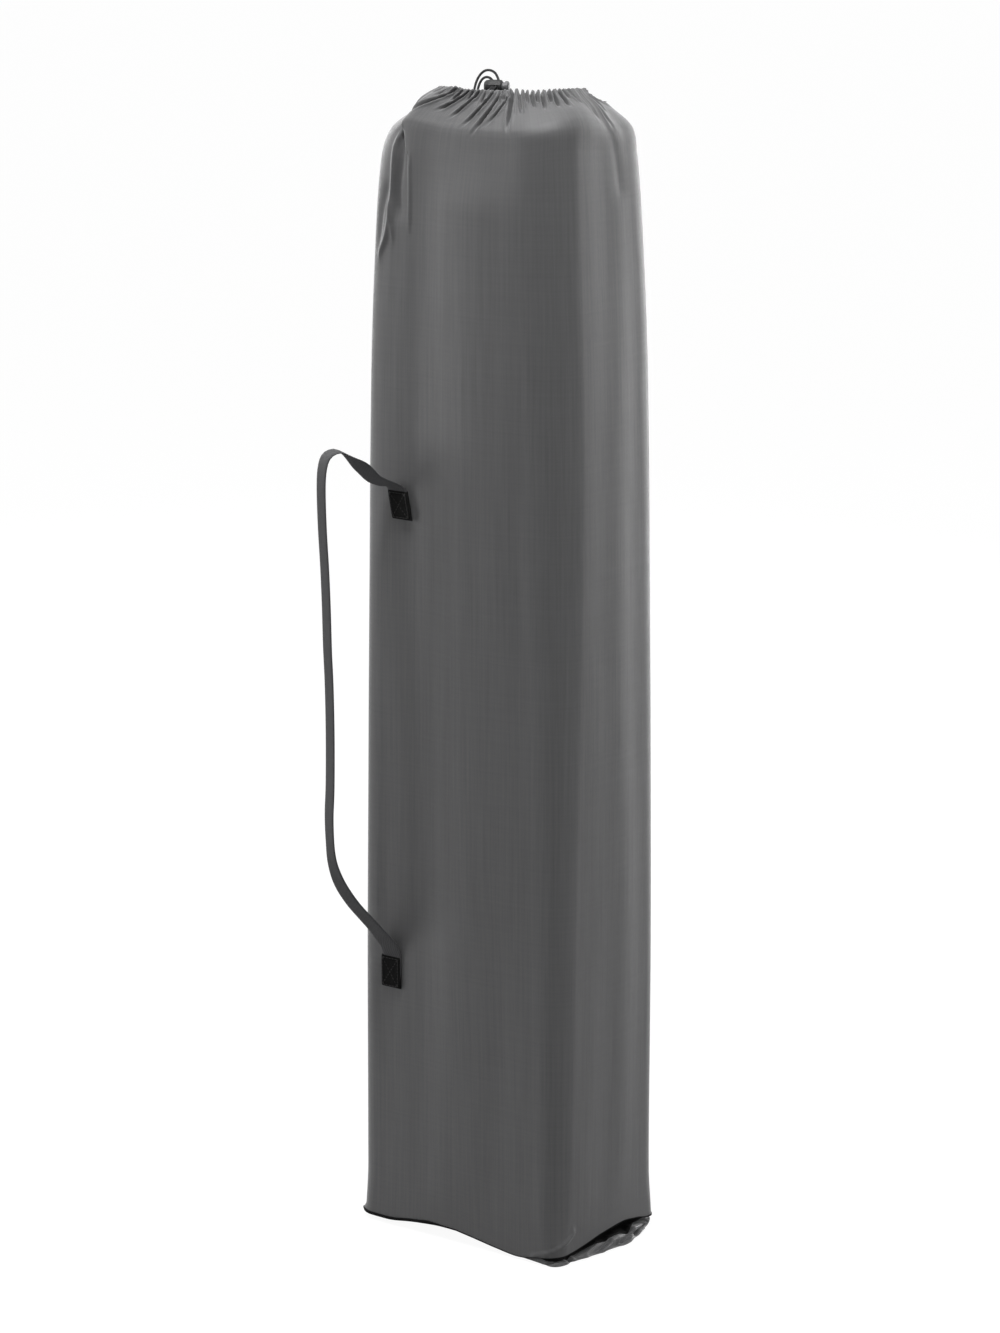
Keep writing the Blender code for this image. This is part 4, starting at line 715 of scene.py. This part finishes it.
# The hem folds over at the rim and comes down inside: distance inward, and rise above the rim
HEM_FOLD = [(0.0007, 0.0007), (0.0020, 0.0010), (0.0034, 0.0004), (0.0044, -0.0010), (0.0050, -0.0040),
            (0.0054, -0.0085), (0.0056, -0.0130)]
rim = tube[-1]
level_out = level_normals[-1]
hem_rows = [rim - level_out * inward + np.array([0.0, 0.0, up]) for inward, up in HEM_FOLD]
tube = np.concatenate([tube, np.array(hem_rows)])
along = mean_height_along(tube)
bag_girth = float(girths[0])
# Its colour lightens towards its outline: a painted sheen
grey_polyester = cloth_finish("bag_cloth_grey", (0.086, 0.086, 0.088), (0.118, 0.118, 0.120), (0.46, 0.58),
                              628.0, 420.0, 0.00010, 0.00010, 0.22)
bag = add_grid("bag_cloth", tube, np.linspace(0.0, bag_girth, COLUMNS + 1), along, grey_polyester)
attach(bag, "bag")
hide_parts("bag_body", "mouth_collar")

# The bag's bottom panel
# The same cloth, sewn to the tube all round. It is pushed down to the floor by the cot, and
# on the right it bulges out in crumples below the seam, which rides up there.

PANEL_COLUMNS = 480
# The profile's seven knots, from the seam to the part on the floor: progress along it, height as a
# share of the seam's height and how much of that an open groove takes off, and height above the floor
PANEL_KNOTS = [0.0, 0.09, 0.24, 0.40, 0.62, 0.84, 1.0]
KNOT_SHARES = [1.0, 1.0, 0.66, 0.60, 0.38, 0.0, 0.0]
KNOT_OPENED = [0.0, 0.0, 0.14, 0.14, 0.10, 0.0, 0.0]
KNOT_RAISED = [0.0010, 0.0, 0.0, 0.0, 0.0, 0.0010, 0.0003]
# By share of the way round: how deep the groove under the seam goes, and how far the crumple stands
# out at its ridge and at the floor
GROOVE = {
    0.00: 0.0120, 0.06: 0.0090, 0.10: 0.0024, 0.125: 0.0010, 0.155: 0.0030, 0.185: 0.0090, 0.22: 0.0120,
    0.27: 0.0130, 0.31: 0.0095, 0.35: 0.0035, 0.80: 0.0030, 0.86: 0.0060, 0.93: 0.0110, 1.00: 0.0120,
}
RIDGE_OUT = {
    0.00: -0.0150, 0.05: -0.0110, 0.08: -0.0050, 0.11: -0.0008, 0.135: 0.0006, 0.150: 0.0010, 0.170: 0.0000,
    0.20: 0.0010, 0.235: 0.0050, 0.265: 0.0085, 0.295: 0.0078, 0.325: 0.0040, 0.345: 0.0010, 0.38: -0.0030,
    0.80: -0.0060, 0.88: -0.0080, 0.93: -0.0140, 1.00: -0.0150,
}
FLOOR_OUT = {
    0.00: -0.0300, 0.08: -0.0100, 0.11: -0.0030, 0.135: -0.0006, 0.150: 0.0028, 0.170: 0.0018, 0.200: 0.0066,
    0.235: 0.0106, 0.265: 0.0138, 0.295: 0.0100, 0.325: 0.0030, 0.345: -0.0040, 0.38: -0.0140, 0.80: -0.0160,
    0.88: -0.0160, 0.93: -0.0260, 1.00: -0.0300,
}
panel_share = np.arange(PANEL_COLUMNS) / PANEL_COLUMNS
seam_z = from_table(SEAM_HEIGHTS, panel_share)
groove, ridge, floor_out = (from_table(table, panel_share) for table in (GROOVE, RIDGE_OUT, FLOOR_OUT))
edge, panel_girth = rounded_outline(*BAG_HEIGHTS[0.0], panel_share)
tangent = np.roll(edge, -1, axis=0) - np.roll(edge, 1, axis=0)
outward = unit(np.stack([tangent[:, 1], -tangent[:, 0]], axis=1))
progress = np.linspace(0.0, 1.0, 60)
# Distance out from the tube's outline and height, knot by knot
BEHIND_SEAM = 0.0006
RIDGE_INSET = 0.0010
FLOOR_INSET = 0.012
FLOOR_EDGE = -0.004
offsets = np.stack([np.full(PANEL_COLUMNS, -BEHIND_SEAM), -groove, -0.6 * groove, ridge - RIDGE_INSET,
                    0.5 * (ridge + floor_out), floor_out, np.minimum(floor_out - FLOOR_INSET, FLOOR_EDGE)])
open_groove = soft_step(panel_share, 0.12, 0.19) * (1.0 - soft_step(panel_share, 0.31, 0.36))
lows = np.stack([(share - opened * open_groove) * seam_z + raised
                 for share, opened, raised in zip(KNOT_SHARES, KNOT_OPENED, KNOT_RAISED)])
sits, drops = (np.array([curve_through(progress, PANEL_KNOTS, column) for column in profile.T]).T
               for profile in (offsets, lows))
panel = np.concatenate([edge + outward * sits[:, :, None], drops[:, :, None]], axis=2)

# Creases of the crumple: share and progress at both ends, depth and half width
PANEL_CREASES = [
    ((0.232, 0.95), (0.285, 0.34), 0.0042, 0.0030), ((0.262, 0.70), (0.318, 0.50), 0.0036, 0.0022),
    ((0.205, 0.80), (0.240, 0.42), 0.0022, 0.0026), ((0.280, 0.95), (0.300, 0.60), 0.0030, 0.0024),
    ((0.172, 0.90), (0.168, 0.20), 0.0030, 0.0024), ((0.136, 0.90), (0.150, 0.25), 0.0012, 0.0020),
    ((0.318, 0.90), (0.330, 0.45), 0.0022, 0.0022),
]
CRUMPLE_DEPTH = 0.022
DENT_RIDGE = 0.4
# The creases are deepest in the middle of the crumple
crumpled = soft_step(progress, 0.24, 0.40) * (1.0 - 0.8 * soft_step(progress, 0.66, 0.84))
dents = np.zeros(panel.shape[:2])
at = grid_of(panel_share * panel_girth, progress[:, None] * CRUMPLE_DEPTH, 0.0)[..., :2]
for start, end, depth, half_width in PANEL_CREASES:
    start, end = (np.array([share * panel_girth, down * CRUMPLE_DEPTH]) for share, down in (start, end))
    line = end - start
    t = np.clip(((at - start) @ line) / (line @ line), 0.0, 1.0)
    off = np.linalg.norm(at - start - t[..., None] * line, axis=-1) / half_width
    dents += depth * crumpled[:, None] * (
        DENT_RIDGE * np.exp(-((off - 1.8) / 0.9) ** 2) - np.exp(-off ** 1.3))
panel_normal = face_normals(panel[::-1])[::-1]
panel = panel + panel_normal * dents[:, :, None]
panel[:, :, 2] = np.maximum(panel[:, :, 2], 0.0002)
inner_rows = [panel[-1] * np.array([share, share, 1.0]) for share in (0.8, 0.6, 0.4, 0.2, 0.02)]
panel = np.concatenate([panel, np.array(inner_rows)])[::-1]
panel_round = np.linspace(0.0, panel_girth, PANEL_COLUMNS + 1)
bottom_panel = add_grid("bag_bottom", panel, panel_round, mean_height_along(panel), grey_polyester)
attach(bottom_panel, "bag")
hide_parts("bag_base")

# The bottom seam's painted shade
# A black strip over the seam between the tube and the bottom panel: painted shade for the shaded groove under
# the tube's edge. At the front it turns under the bag; at the right, where the panel rides up, its whole
# width is seen.

# By share of the way round: how far the painted shade strip comes up the tube, and how far down the panel
SHADE_STRIP_UP = {0.0: 0.0008, 0.05: 0.0006, 0.10: 0.0004, 0.13: 0.0003, 0.30: 0.0006, 0.36: 0.0012, 0.80: 0.0012,
           0.84: 0.0026, 0.95: 0.0026, 0.975: 0.0014, 1.0: 0.0008}
SHADE_STRIP_UNDER = {0.0: 0.05, 0.10: 0.05, 0.124: 0.08, 0.14: 0.24, 0.17: 0.37, 0.28: 0.37, 0.32: 0.24, 0.35: 0.10,
              0.50: 0.05, 1.0: 0.05}
# How far the painted shade strip stands off the cloth, how far its edges go in, and its width
SHADE_STRIP_STAND = 0.0007
SHADE_STRIP_EDGE = -0.0002
SHADE_STRIP_WIDTH = 0.012

# Black webbing for the patches; on the bottom seam the same black is painted shade
black_webbing_and_painted_shade = cloth_finish("webbing_black_and_painted_shade", (0.004, 0.004, 0.004), (0.009, 0.009, 0.009), (0.7, 0.85), 900.0,
                          700.0, 0.00022, 0.00010, 0.0)
black_webbing_and_painted_shade.node_tree.nodes["Principled BSDF"].inputs["Specular IOR Level"].default_value = 0.12
places = panel_share * COLUMNS
left = places.astype(int)
part = (places - left)[:, None]
low_tube = tube[:2, left] * (1.0 - part) + tube[:2, (left + 1) % COLUMNS] * part
one_up = unit(low_tube[1] - low_tube[0])
out_of_tube = np.column_stack([outward, np.zeros(PANEL_COLUMNS)])
down_rows = panel[::-1][:len(progress)]
shade_strip_rows = []
for share_up, stand in ((1.0, SHADE_STRIP_EDGE), (1.0, SHADE_STRIP_STAND), (0.5, SHADE_STRIP_STAND), (0.0, SHADE_STRIP_STAND)):
    shade_strip_rows.append(low_tube[0] + one_up * share_up * from_table(SHADE_STRIP_UP, panel_share)[:, None]
                     + out_of_tube * stand)
columns = np.arange(PANEL_COLUMNS)
for share_down, stand in [(share, SHADE_STRIP_STAND) for share in np.linspace(0.12, 1.0, 9)] + [(1.0, SHADE_STRIP_EDGE)]:
    reached = share_down * from_table(SHADE_STRIP_UNDER, panel_share) * (len(progress) - 1)
    row = reached.astype(int)
    part = (reached - row)[:, None]
    shade_strip_rows.append(down_rows[row, columns] * (1.0 - part) + down_rows[row + 1, columns] * part
                     + panel_normal[row, columns] * stand)
shade_strip = np.array(shade_strip_rows)[::-1]
shade_strip[:, :, 2] = np.maximum(shade_strip[:, :, 2], 0.0001)
painted_shade_strip = add_grid("bottom_seam_painted_shade", shade_strip, panel_round, np.linspace(0.0, SHADE_STRIP_WIDTH, len(shade_strip)), black_webbing_and_painted_shade)
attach(painted_shade_strip, "bag")

# The drawcord's two free ends
# Black braided nylon, 2.2 mm thick. Both ends leave the hem's eyelet at the back left, pass
# straight through the cord lock, arch over and hang down the back to one joining knot.

CORD_DIAMETER = 0.0022
CORD_PITCH = 0.0026
LOCK_CENTRE = Vector((-0.0605, 0.0617, 0.9905))
LOCK_TURN = math.radians(27.0)
LOCK_AXIS = Vector((math.cos(LOCK_TURN), math.sin(LOCK_TURN), 0.0))
CORD_DIRECTION = Vector((-LOCK_AXIS.y, LOCK_AXIS.x, 0.0))
EYELET = Vector((-0.0494, 0.0399, 0.9803))
EYELET_OUT = Vector((math.cos(math.radians(135.0)), math.sin(math.radians(135.0)), 0.0))
EYELET_ASIDE = Vector((EYELET_OUT.y, -EYELET_OUT.x, 0.0))
# Each end: its CAD node, its side of the lock, and its route behind the lock
CORD_ENDS = {
    "cord_end_right": ("cord_tail_right", 1, [
        (-0.0644, 0.0720, 0.9907), (-0.0669, 0.0754, 0.9925), (-0.0700, 0.0779, 0.9960),
        (-0.0737, 0.0789, 1.0000), (-0.0783, 0.0791, 1.0020), (-0.0830, 0.0785, 1.0020),
        (-0.0870, 0.0777, 0.9998), (-0.0901, 0.0767, 0.9958), (-0.0922, 0.0756, 0.9905),
        (-0.0933, 0.0745, 0.9835), (-0.0934, 0.0730, 0.9750), (-0.0929, 0.0708, 0.9650),
        (-0.0920, 0.0688, 0.9550), (-0.0908, 0.0672, 0.9440), (-0.0898, 0.0668, 0.9320),
        (-0.0890, 0.0676, 0.9200), (-0.0883, 0.0698, 0.9100), (-0.0878, 0.0716, 0.9030),
    ]),
    "cord_end_left": ("cord_tail_left", -1, [
        (-0.0670, 0.0710, 0.9903), (-0.0700, 0.0738, 0.9912), (-0.0733, 0.0753, 0.9935),
        (-0.0770, 0.0756, 0.9960), (-0.0808, 0.0753, 0.9965), (-0.0842, 0.0747, 0.9948),
        (-0.0867, 0.0740, 0.9910), (-0.0882, 0.0730, 0.9850), (-0.0887, 0.0722, 0.9770),
        (-0.0884, 0.0712, 0.9680), (-0.0876, 0.0694, 0.9580), (-0.0868, 0.0676, 0.9470),
        (-0.0862, 0.0668, 0.9360), (-0.0856, 0.0676, 0.9250), (-0.0851, 0.0696, 0.9140),
        (-0.0849, 0.0716, 0.9035),
    ]),
}


def smooth_route(points, count):
    """Evenly spaced points on a smooth curve through the route's own points."""
    steps = 12
    padded = [2 * Vector(points[0]) - Vector(points[1])] + [Vector(p) for p in points]
    padded.append(2 * Vector(points[-1]) - Vector(points[-2]))
    dense = []
    for index in range(1, len(padded) - 2):
        before, start, end, after = padded[index - 1:index + 3]
        for step in range(steps):
            t = step / steps
            dense.append(0.5 * (2 * start + (end - before) * t
                                + (2 * before - 5 * start + 4 * end - after) * t * t
                                + (3 * start - before - 3 * end + after) * t ** 3))
    dense.append(padded[-2])
    dense = np.array(dense)
    return read_along(dense, np.linspace(0.0, distance_along(dense)[-1], count))


def tube_rings(points, radius, sides):
    """Rings of points round a line, turned along it without a twist."""
    forward = unit(np.gradient(points, axis=0))
    side = np.cross(forward[0], (0.0, 0.0, 1.0))
    angle = np.linspace(0.0, 2 * math.pi, sides, endpoint=False)
    rings = []
    for point, ahead in zip(points, forward):
        side = unit(side - ahead * side.dot(ahead))
        up = np.cross(side, ahead)
        rings.append(point + radius * (np.cos(angle)[:, None] * side - np.sin(angle)[:, None] * up))
    return np.array(rings)


def add_cord(name, points, diameter, material, sides=12):
    """A round cord along points, its ends closed, with its UV round and along it in metres."""
    grid = tube_rings(points, diameter / 2, sides)
    ends = [grid[row] * 0.04 + points[row] * 0.96 for row in (0, -1)]
    grid = np.concatenate([ends[:1], grid, ends[1:]])
    along = distance_along(points)
    along = np.concatenate([[0.0], along, along[-1:]])
    return add_grid(name, grid, np.linspace(0.0, math.pi * diameter, sides + 1), along, material)


# Braid of a round cord: two sets of strands cross over each other on a slant
STRAND_PITCH = 0.00086
braided_nylon, tree, shader = new_material("braided_cord_black")
place = node(tree, "ShaderNodeUVMap", uv_map="UVMap").outputs[0]
strands = []
for slant in (1.0, -1.0):
    turned = node(tree, "ShaderNodeVectorMath", {0: place, 1: (1.0, slant, 0.0)}, operation="DOT_PRODUCT")
    strands.append(maths(tree, "SINE", maths(tree, "MULTIPLY", turned.outputs["Value"],
                                             2 * math.pi / STRAND_PITCH)))
braid = maths(tree, "MULTIPLY", *strands)
high = node(tree, "ShaderNodeMapRange", {"Value": braid, "From Min": -1.0, "From Max": 1.0}).outputs[0]
relief = node(tree, "ShaderNodeBump", {"Height": high, "Distance": 0.0003, "Strength": 0.8})
# The colour is darker in the grooves between the strands and lighter on their crests: painted shade
feed(tree, shader, {"Base Color": tone_between(tree, high, (0.006, 0.006, 0.007), (0.022, 0.022, 0.024)),
                    "Normal": relief.outputs[0], "Roughness": 0.55})

knot_low, knot_high = (Vector(corner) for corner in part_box("cord_knot"))
knot_centre = (knot_low + knot_high) / 2
knot_radius = (knot_high.x - knot_low.x) / 2
# The cord's run in the knot: three loops that pass over and under each other
turns = np.linspace(0.0, 2 * math.pi, 90)
knot_line = np.column_stack([
    (knot_radius * 0.42) * (np.sin(turns) + 0.9 * np.sin(2 * turns)) + knot_centre.x,
    (knot_radius * 0.30) * -np.sin(3 * turns) + knot_centre.y,
    (knot_radius * 0.42) * (np.cos(turns) - 0.9 * np.cos(2 * turns)) + knot_centre.z,
])
knot = add_cord("end_knot", knot_line, CORD_DIAMETER, braided_nylon)
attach(knot, "bag")
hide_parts("cord_knot")

# From the eyelet to the lock: distance out of the hem, and rise
BEFORE_LOCK = [(0.0008, 0.0), (0.0050, 0.0016), (0.0105, 0.0062)]
# Along the lock's holes, from its middle
IN_LOCK = [-0.009, -0.004, 0.002, 0.0065]
for name, (cad_name, side, behind_lock) in CORD_ENDS.items():
    aside = side * CORD_PITCH / 2
    start = EYELET + EYELET_ASIDE * aside
    before_lock = [start + EYELET_OUT * out + Vector((0.0, 0.0, up)) for out, up in BEFORE_LOCK]
    in_lock = [LOCK_CENTRE + CORD_DIRECTION * reach + LOCK_AXIS * aside for reach in IN_LOCK]
    line = smooth_route(before_lock + in_lock + [Vector(p) for p in behind_lock], 130)
    piece = add_cord(name, line, CORD_DIAMETER, braided_nylon)
    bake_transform(piece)
    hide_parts(cad_name)

# The drawcord in the hem
# The same cord, run once round inside the folded hem, from one free end to the other.

CORD_IN_HEM = 0.0028
CORD_DROP = 0.0065
SMOOTHED_OVER = 31
hem_run = rim - level_out * CORD_IN_HEM - np.array([0.0, 0.0, CORD_DROP])
hem_run = np.mean([np.roll(hem_run, shift, axis=0)
                   for shift in range(-SMOOTHED_OVER // 2, SMOOTHED_OVER // 2)], axis=0)
leaves = int(np.argmin(np.linalg.norm(hem_run - np.array(EYELET), axis=1)))
run_order = (np.arange(4, COLUMNS - 4, 6) + leaves) % COLUMNS
# Both ends of the run turn out through the eyelet: distance out of it, and to either side
INSIDE_EYELET = (-0.0026, 0.00155)
OUTSIDE_EYELET = (0.0003, CORD_PITCH / 2)
inside, outside = ([EYELET + EYELET_OUT * out + EYELET_ASIDE * side * aside for side in (-1, 1)]
                   for out, aside in (INSIDE_EYELET, OUTSIDE_EYELET))
hem_line = [outside[0], inside[0]] + [Vector(point) for point in hem_run[run_order]] + [inside[1], outside[1]]
hem_cord = add_cord("hem_cord", smooth_route(hem_line, 420), CORD_DIAMETER, braided_nylon)
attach(hem_cord, "bag")
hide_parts("drawcord")

# The cord lock
# A black moulded barrel with a sprung grey button, whose holes line up when it is pressed.
# Their CAD shapes stay, with a moulded grain. The spring between them is a coil of bright wire.

finish_nodes(("lock_barrel",), black_plastic)
grey_plastic = hard_finish("grey_plastic", (0.10, 0.10, 0.104), (0.15, 0.15, 0.155), (0.42, 0.54),
                           0.0, 2600.0, 0.00004, 60.0)
finish_nodes(("lock_plunger",), grey_plastic)
spring_wire = hard_finish("spring_wire", (0.50, 0.50, 0.51), (0.68, 0.68, 0.68), (0.22, 0.34),
                          1.0, 1500.0, 0.00001, 80.0)

SPRING_TURNS = 3.5
SPRING_WIRE = 0.0005
SPRING_RADIUS = 0.0030
# Distance of both ends of the spring from the lock's middle, along its axis
SPRING_FROM, SPRING_TO = -0.00805, -0.00455
turned = np.linspace(0.0, 2 * math.pi * SPRING_TURNS, 120)[:, None]
coil_line = (np.array(LOCK_CENTRE) + SPRING_RADIUS * np.cos(turned) * np.array(CORD_DIRECTION)
             - SPRING_RADIUS * np.sin(turned) * np.array([0.0, 0.0, 1.0])
             + np.linspace(SPRING_FROM, SPRING_TO, 120)[:, None] * np.array(LOCK_AXIS))
coil = add_cord("spring_coil", coil_line, SPRING_WIRE, spring_wire, sides=8)
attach(coil, "lock")
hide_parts("lock_spring")
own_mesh(coil)

# The carry strap
# One length of dark twill webbing, 20 mm wide. Its ends are sewn flat on the bag's front under
# black patches, and the middle stands off in a free loop.

WEBBING_WIDTH = 0.020
WEBBING_THICKNESS = 0.0016
STRAP_TURN = math.radians(30.0)
STRAP_OUT = Vector((-math.sin(STRAP_TURN), -math.cos(STRAP_TURN), 0.0))
# Height and distance out from the sewn line, from the upper patch round the loop to the lower one
STRAP_ROUTE = [
    (0.6735, 0.0245), (0.682, 0.033), (0.691, 0.0435), (0.698, 0.054), (0.6985, 0.061),
    (0.694, 0.0675), (0.683, 0.0705), (0.665, 0.071), (0.633, 0.0695), (0.599, 0.067),
    (0.564, 0.065), (0.529, 0.0635), (0.495, 0.0615), (0.451, 0.060), (0.407, 0.0595),
    (0.380, 0.0600), (0.3535, 0.0585), (0.336, 0.0555), (0.318, 0.0485), (0.300, 0.0370),
    (0.2845, 0.0240),
]
STRAP_UPPER = [(0.640, 0.0), (0.650, 0.0), (0.6615, 0.0), (0.6650, 0.0035), (0.6675, 0.0110),
               (0.6700, 0.0180)]
STRAP_LOWER = [(0.2775, 0.0180), (0.2690, 0.0110), (0.2580, 0.0030), (0.2500, 0.0), (0.240, 0.0),
               (0.225, 0.0)]
# The webbing twists between its sewn ends and the loop: distance along it, and degrees
STRAP_TWIST = {0.0: 0.0, 0.022: 0.0, 0.036: -22.0, 0.062: -27.0, 0.086: 0.0, 0.44: 0.0, 0.49: 18.0,
               0.54: 22.0, 0.562: 0.0, 0.60: 0.0}
# The upper end is sewn on at a slight slant
UPPER_LEAN = 0.20
STRAP_ROWS = 150
STRAP_COLUMNS = 12

upper_low, upper_high = (Vector(corner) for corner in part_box("strap_patch_upper"))
lower_low, lower_high = (Vector(corner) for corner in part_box("strap_patch_lower"))
front_y = upper_high.y
webbing_y = front_y - WEBBING_THICKNESS / 2
upper_middle_z = (upper_low.z + upper_high.z) / 2


def strap_base(z):
    """Point on the strap's sewn line on the bag's front, at a height."""
    share = (z - lower_low.z) / (upper_high.z - lower_low.z)
    low_x, high_x = (lower_low.x + lower_high.x) / 2, (upper_low.x + upper_high.x) / 2
    return Vector((low_x + (high_x - low_x) * share, webbing_y, z))


strap_line = smooth_route([strap_base(z) + STRAP_OUT * out
                           for z, out in STRAP_UPPER + STRAP_ROUTE + STRAP_LOWER], STRAP_ROWS)
strap_along = distance_along(strap_line)
sewn = 1.0 - soft_step(strap_along, 0.026, 0.045)
strap_line[:, 0] -= UPPER_LEAN * (strap_line[:, 2] - upper_middle_z) * sewn
width_turn = STRAP_TURN * soft_step(webbing_y - strap_line[:, 1], 0.0005, 0.012)
strap_across = np.stack([np.cos(width_turn), -np.sin(width_turn), np.zeros(STRAP_ROWS)], axis=1)
strap_face = unit(np.cross(strap_across, np.gradient(strap_line, axis=0)))
twist = np.radians(from_table(STRAP_TWIST, strap_along))[:, None]
strap_across, strap_face = (strap_across * np.cos(twist) + strap_face * np.sin(twist),
                            strap_face * np.cos(twist) - strap_across * np.sin(twist))
# The webbing's section: two faces that draw together at the rounded edges
lanes = np.linspace(-0.5, 0.5, STRAP_COLUMNS)
ring_lane = np.concatenate([lanes, lanes[::-1]])
half_thick = WEBBING_THICKNESS / 2 * (1.0 - 0.55 * np.abs(2 * lanes) ** 8)
ring_face = np.concatenate([-half_thick, half_thick[::-1]])
strap_grid = (strap_line[:, None] + strap_across[:, None] * (ring_lane * WEBBING_WIDTH)[:, None]
              + strap_face[:, None] * ring_face[:, None])
ring_u = np.concatenate([lanes + 0.5, 1.1 + lanes + 0.5, [2.2]]) * WEBBING_WIDTH

RIB_PITCH = 0.0020
YARN_PITCH = 0.0009
twill, tree, shader = new_material("twill_webbing_grey")
place = node(tree, "ShaderNodeUVMap", uv_map="UVMap").outputs[0]
slanted = node(tree, "ShaderNodeVectorMath", {0: place, 1: (1.0, 0.7, 0.0)}, operation="DOT_PRODUCT")
ribs = maths(tree, "SINE", maths(tree, "MULTIPLY", slanted.outputs["Value"], 2 * math.pi / RIB_PITCH))
crosswise = node(tree, "ShaderNodeVectorMath", {0: place, 1: (2 * math.pi / YARN_PITCH, 0.0, 0.0)},
                 operation="DOT_PRODUCT")
picks = maths(tree, "MULTIPLY_ADD", maths(tree, "SINE", crosswise.outputs["Value"]), 0.45, ribs)
high = node(tree, "ShaderNodeMapRange", {"Value": picks, "From Min": -1.4, "From Max": 1.4}).outputs[0]
fuzz = node(tree, "ShaderNodeTexNoise", {"Vector": place, "Scale": 900.0, "Detail": 3.0}).outputs[0]
mixed = between(tree, 0.35, high, fuzz)
relief = node(tree, "ShaderNodeBump", {"Height": mixed, "Distance": 0.0004, "Strength": 0.7})
# The colour darkens in the grooves of the ribs, painted shade, and varies at random with the fuzz
feed(tree, shader, {"Base Color": tone_between(tree, mixed, (0.030, 0.030, 0.032), (0.090, 0.090, 0.094)),
                    "Normal": relief.outputs[0], "Roughness": 0.8})
strap = add_grid("carry_webbing", strap_grid, ring_u, strap_along, twill)
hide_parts("carry_strap", "strap_end_upper", "strap_end_lower")
middle = strap_base((lower_low.z + upper_high.z) / 2)
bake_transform(strap)

# The strap's sewn patches
# A square of black webbing over each end of the strap, sewn down round its edge and crossed
# with black thread.

PATCH_HEIGHT = 0.0027
# A patch's seam: how deep it draws the patch in, and its place and width across and up, as shares
# of half the patch
SEAM_DRAW = 0.0004
SEAM_ACROSS = (0.78, 0.06)
SEAM_UP = (0.82, 0.05)
STITCH_LENGTH = 0.0024
STITCH_PITCH = 0.0032
STITCH_RADIUS = 0.00032
STITCH_INSET = 0.0022
STITCH_SUNK = 0.0003

black_thread = hard_finish("thread_black", (0.008, 0.008, 0.008), (0.020, 0.020, 0.020), (0.45, 0.6),
                           0.0, 5000.0, 0.00006, 300.0)


def add_stitches(name, seams, surface_y):
    """Rows of raised stitches between pairs of points in X and Z, sunk at both ends."""
    grids = []
    reach = np.linspace(-0.5, 0.5, 6)
    for start, end in seams:
        run = np.array(end) - np.array(start)
        length = np.linalg.norm(run)
        count = max(1, round(length / STITCH_PITCH))
        for number in range(count):
            middle = np.array(start) + run * (number + 0.5) / count
            flat = middle + run / length * STITCH_LENGTH * reach[:, None]
            rise = STITCH_RADIUS * (1.4 - 9.0 * reach ** 2)
            line = np.column_stack([flat[:, 0], surface_y - rise, flat[:, 1]])
            grids.append((tube_rings(line, STITCH_RADIUS, 6), np.linspace(0.0, 0.002, 7), reach + 0.5, True))
    stitches = add_grids(name, grids, black_thread)
    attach(stitches, "bag")


PATCHES = [("patch_upper", "strap_patch_upper", upper_low, upper_high, UPPER_LEAN),
           ("patch_lower", "strap_patch_lower", lower_low, lower_high, 0.0)]
spaced = np.linspace(-1.0, 1.0, 29)
spaced = 0.5 * spaced + 0.5 * np.sin(0.5 * math.pi * spaced)
across, up = np.meshgrid(spaced, spaced)
stand = PATCH_HEIGHT * np.sqrt(np.clip((1 - np.abs(across) ** 12) * (1 - np.abs(up) ** 12), 0.0, 1.0))
drawn_in = sum(SEAM_DRAW * np.exp(-((np.abs(way) - seam) / width) ** 2)
               for way, (seam, width) in ((across, SEAM_ACROSS), (up, SEAM_UP)))
for name, cad_name, low, high, lean in PATCHES:
    middle = (low + high) / 2
    half = (high - low) / 2
    points = grid_of(middle.x + across * half.x - lean * up * half.z,
                     front_y - stand + drawn_in * (stand > 0.002), middle.z + up * half.z)
    patch = add_grid(name, points, (spaced + 1) * half.x, (spaced + 1) * half.z, black_webbing_and_painted_shade, ring=False)
    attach(patch, "bag")
    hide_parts(cad_name)
    foot_left, foot_right, head_right, head_left = [
        (middle.x + side * (half.x - STITCH_INSET) - lean * level * (half.z - STITCH_INSET),
         middle.z + level * (half.z - STITCH_INSET)) for side, level in ((-1, -1), (1, -1), (1, 1), (-1, 1))]
    add_stitches(name + "_stitches", [
        (foot_left, foot_right), (foot_right, head_right), (head_right, head_left), (head_left, foot_left),
        (foot_left, head_right), (foot_right, head_left),
    ], front_y - PATCH_HEIGHT + STITCH_SUNK)
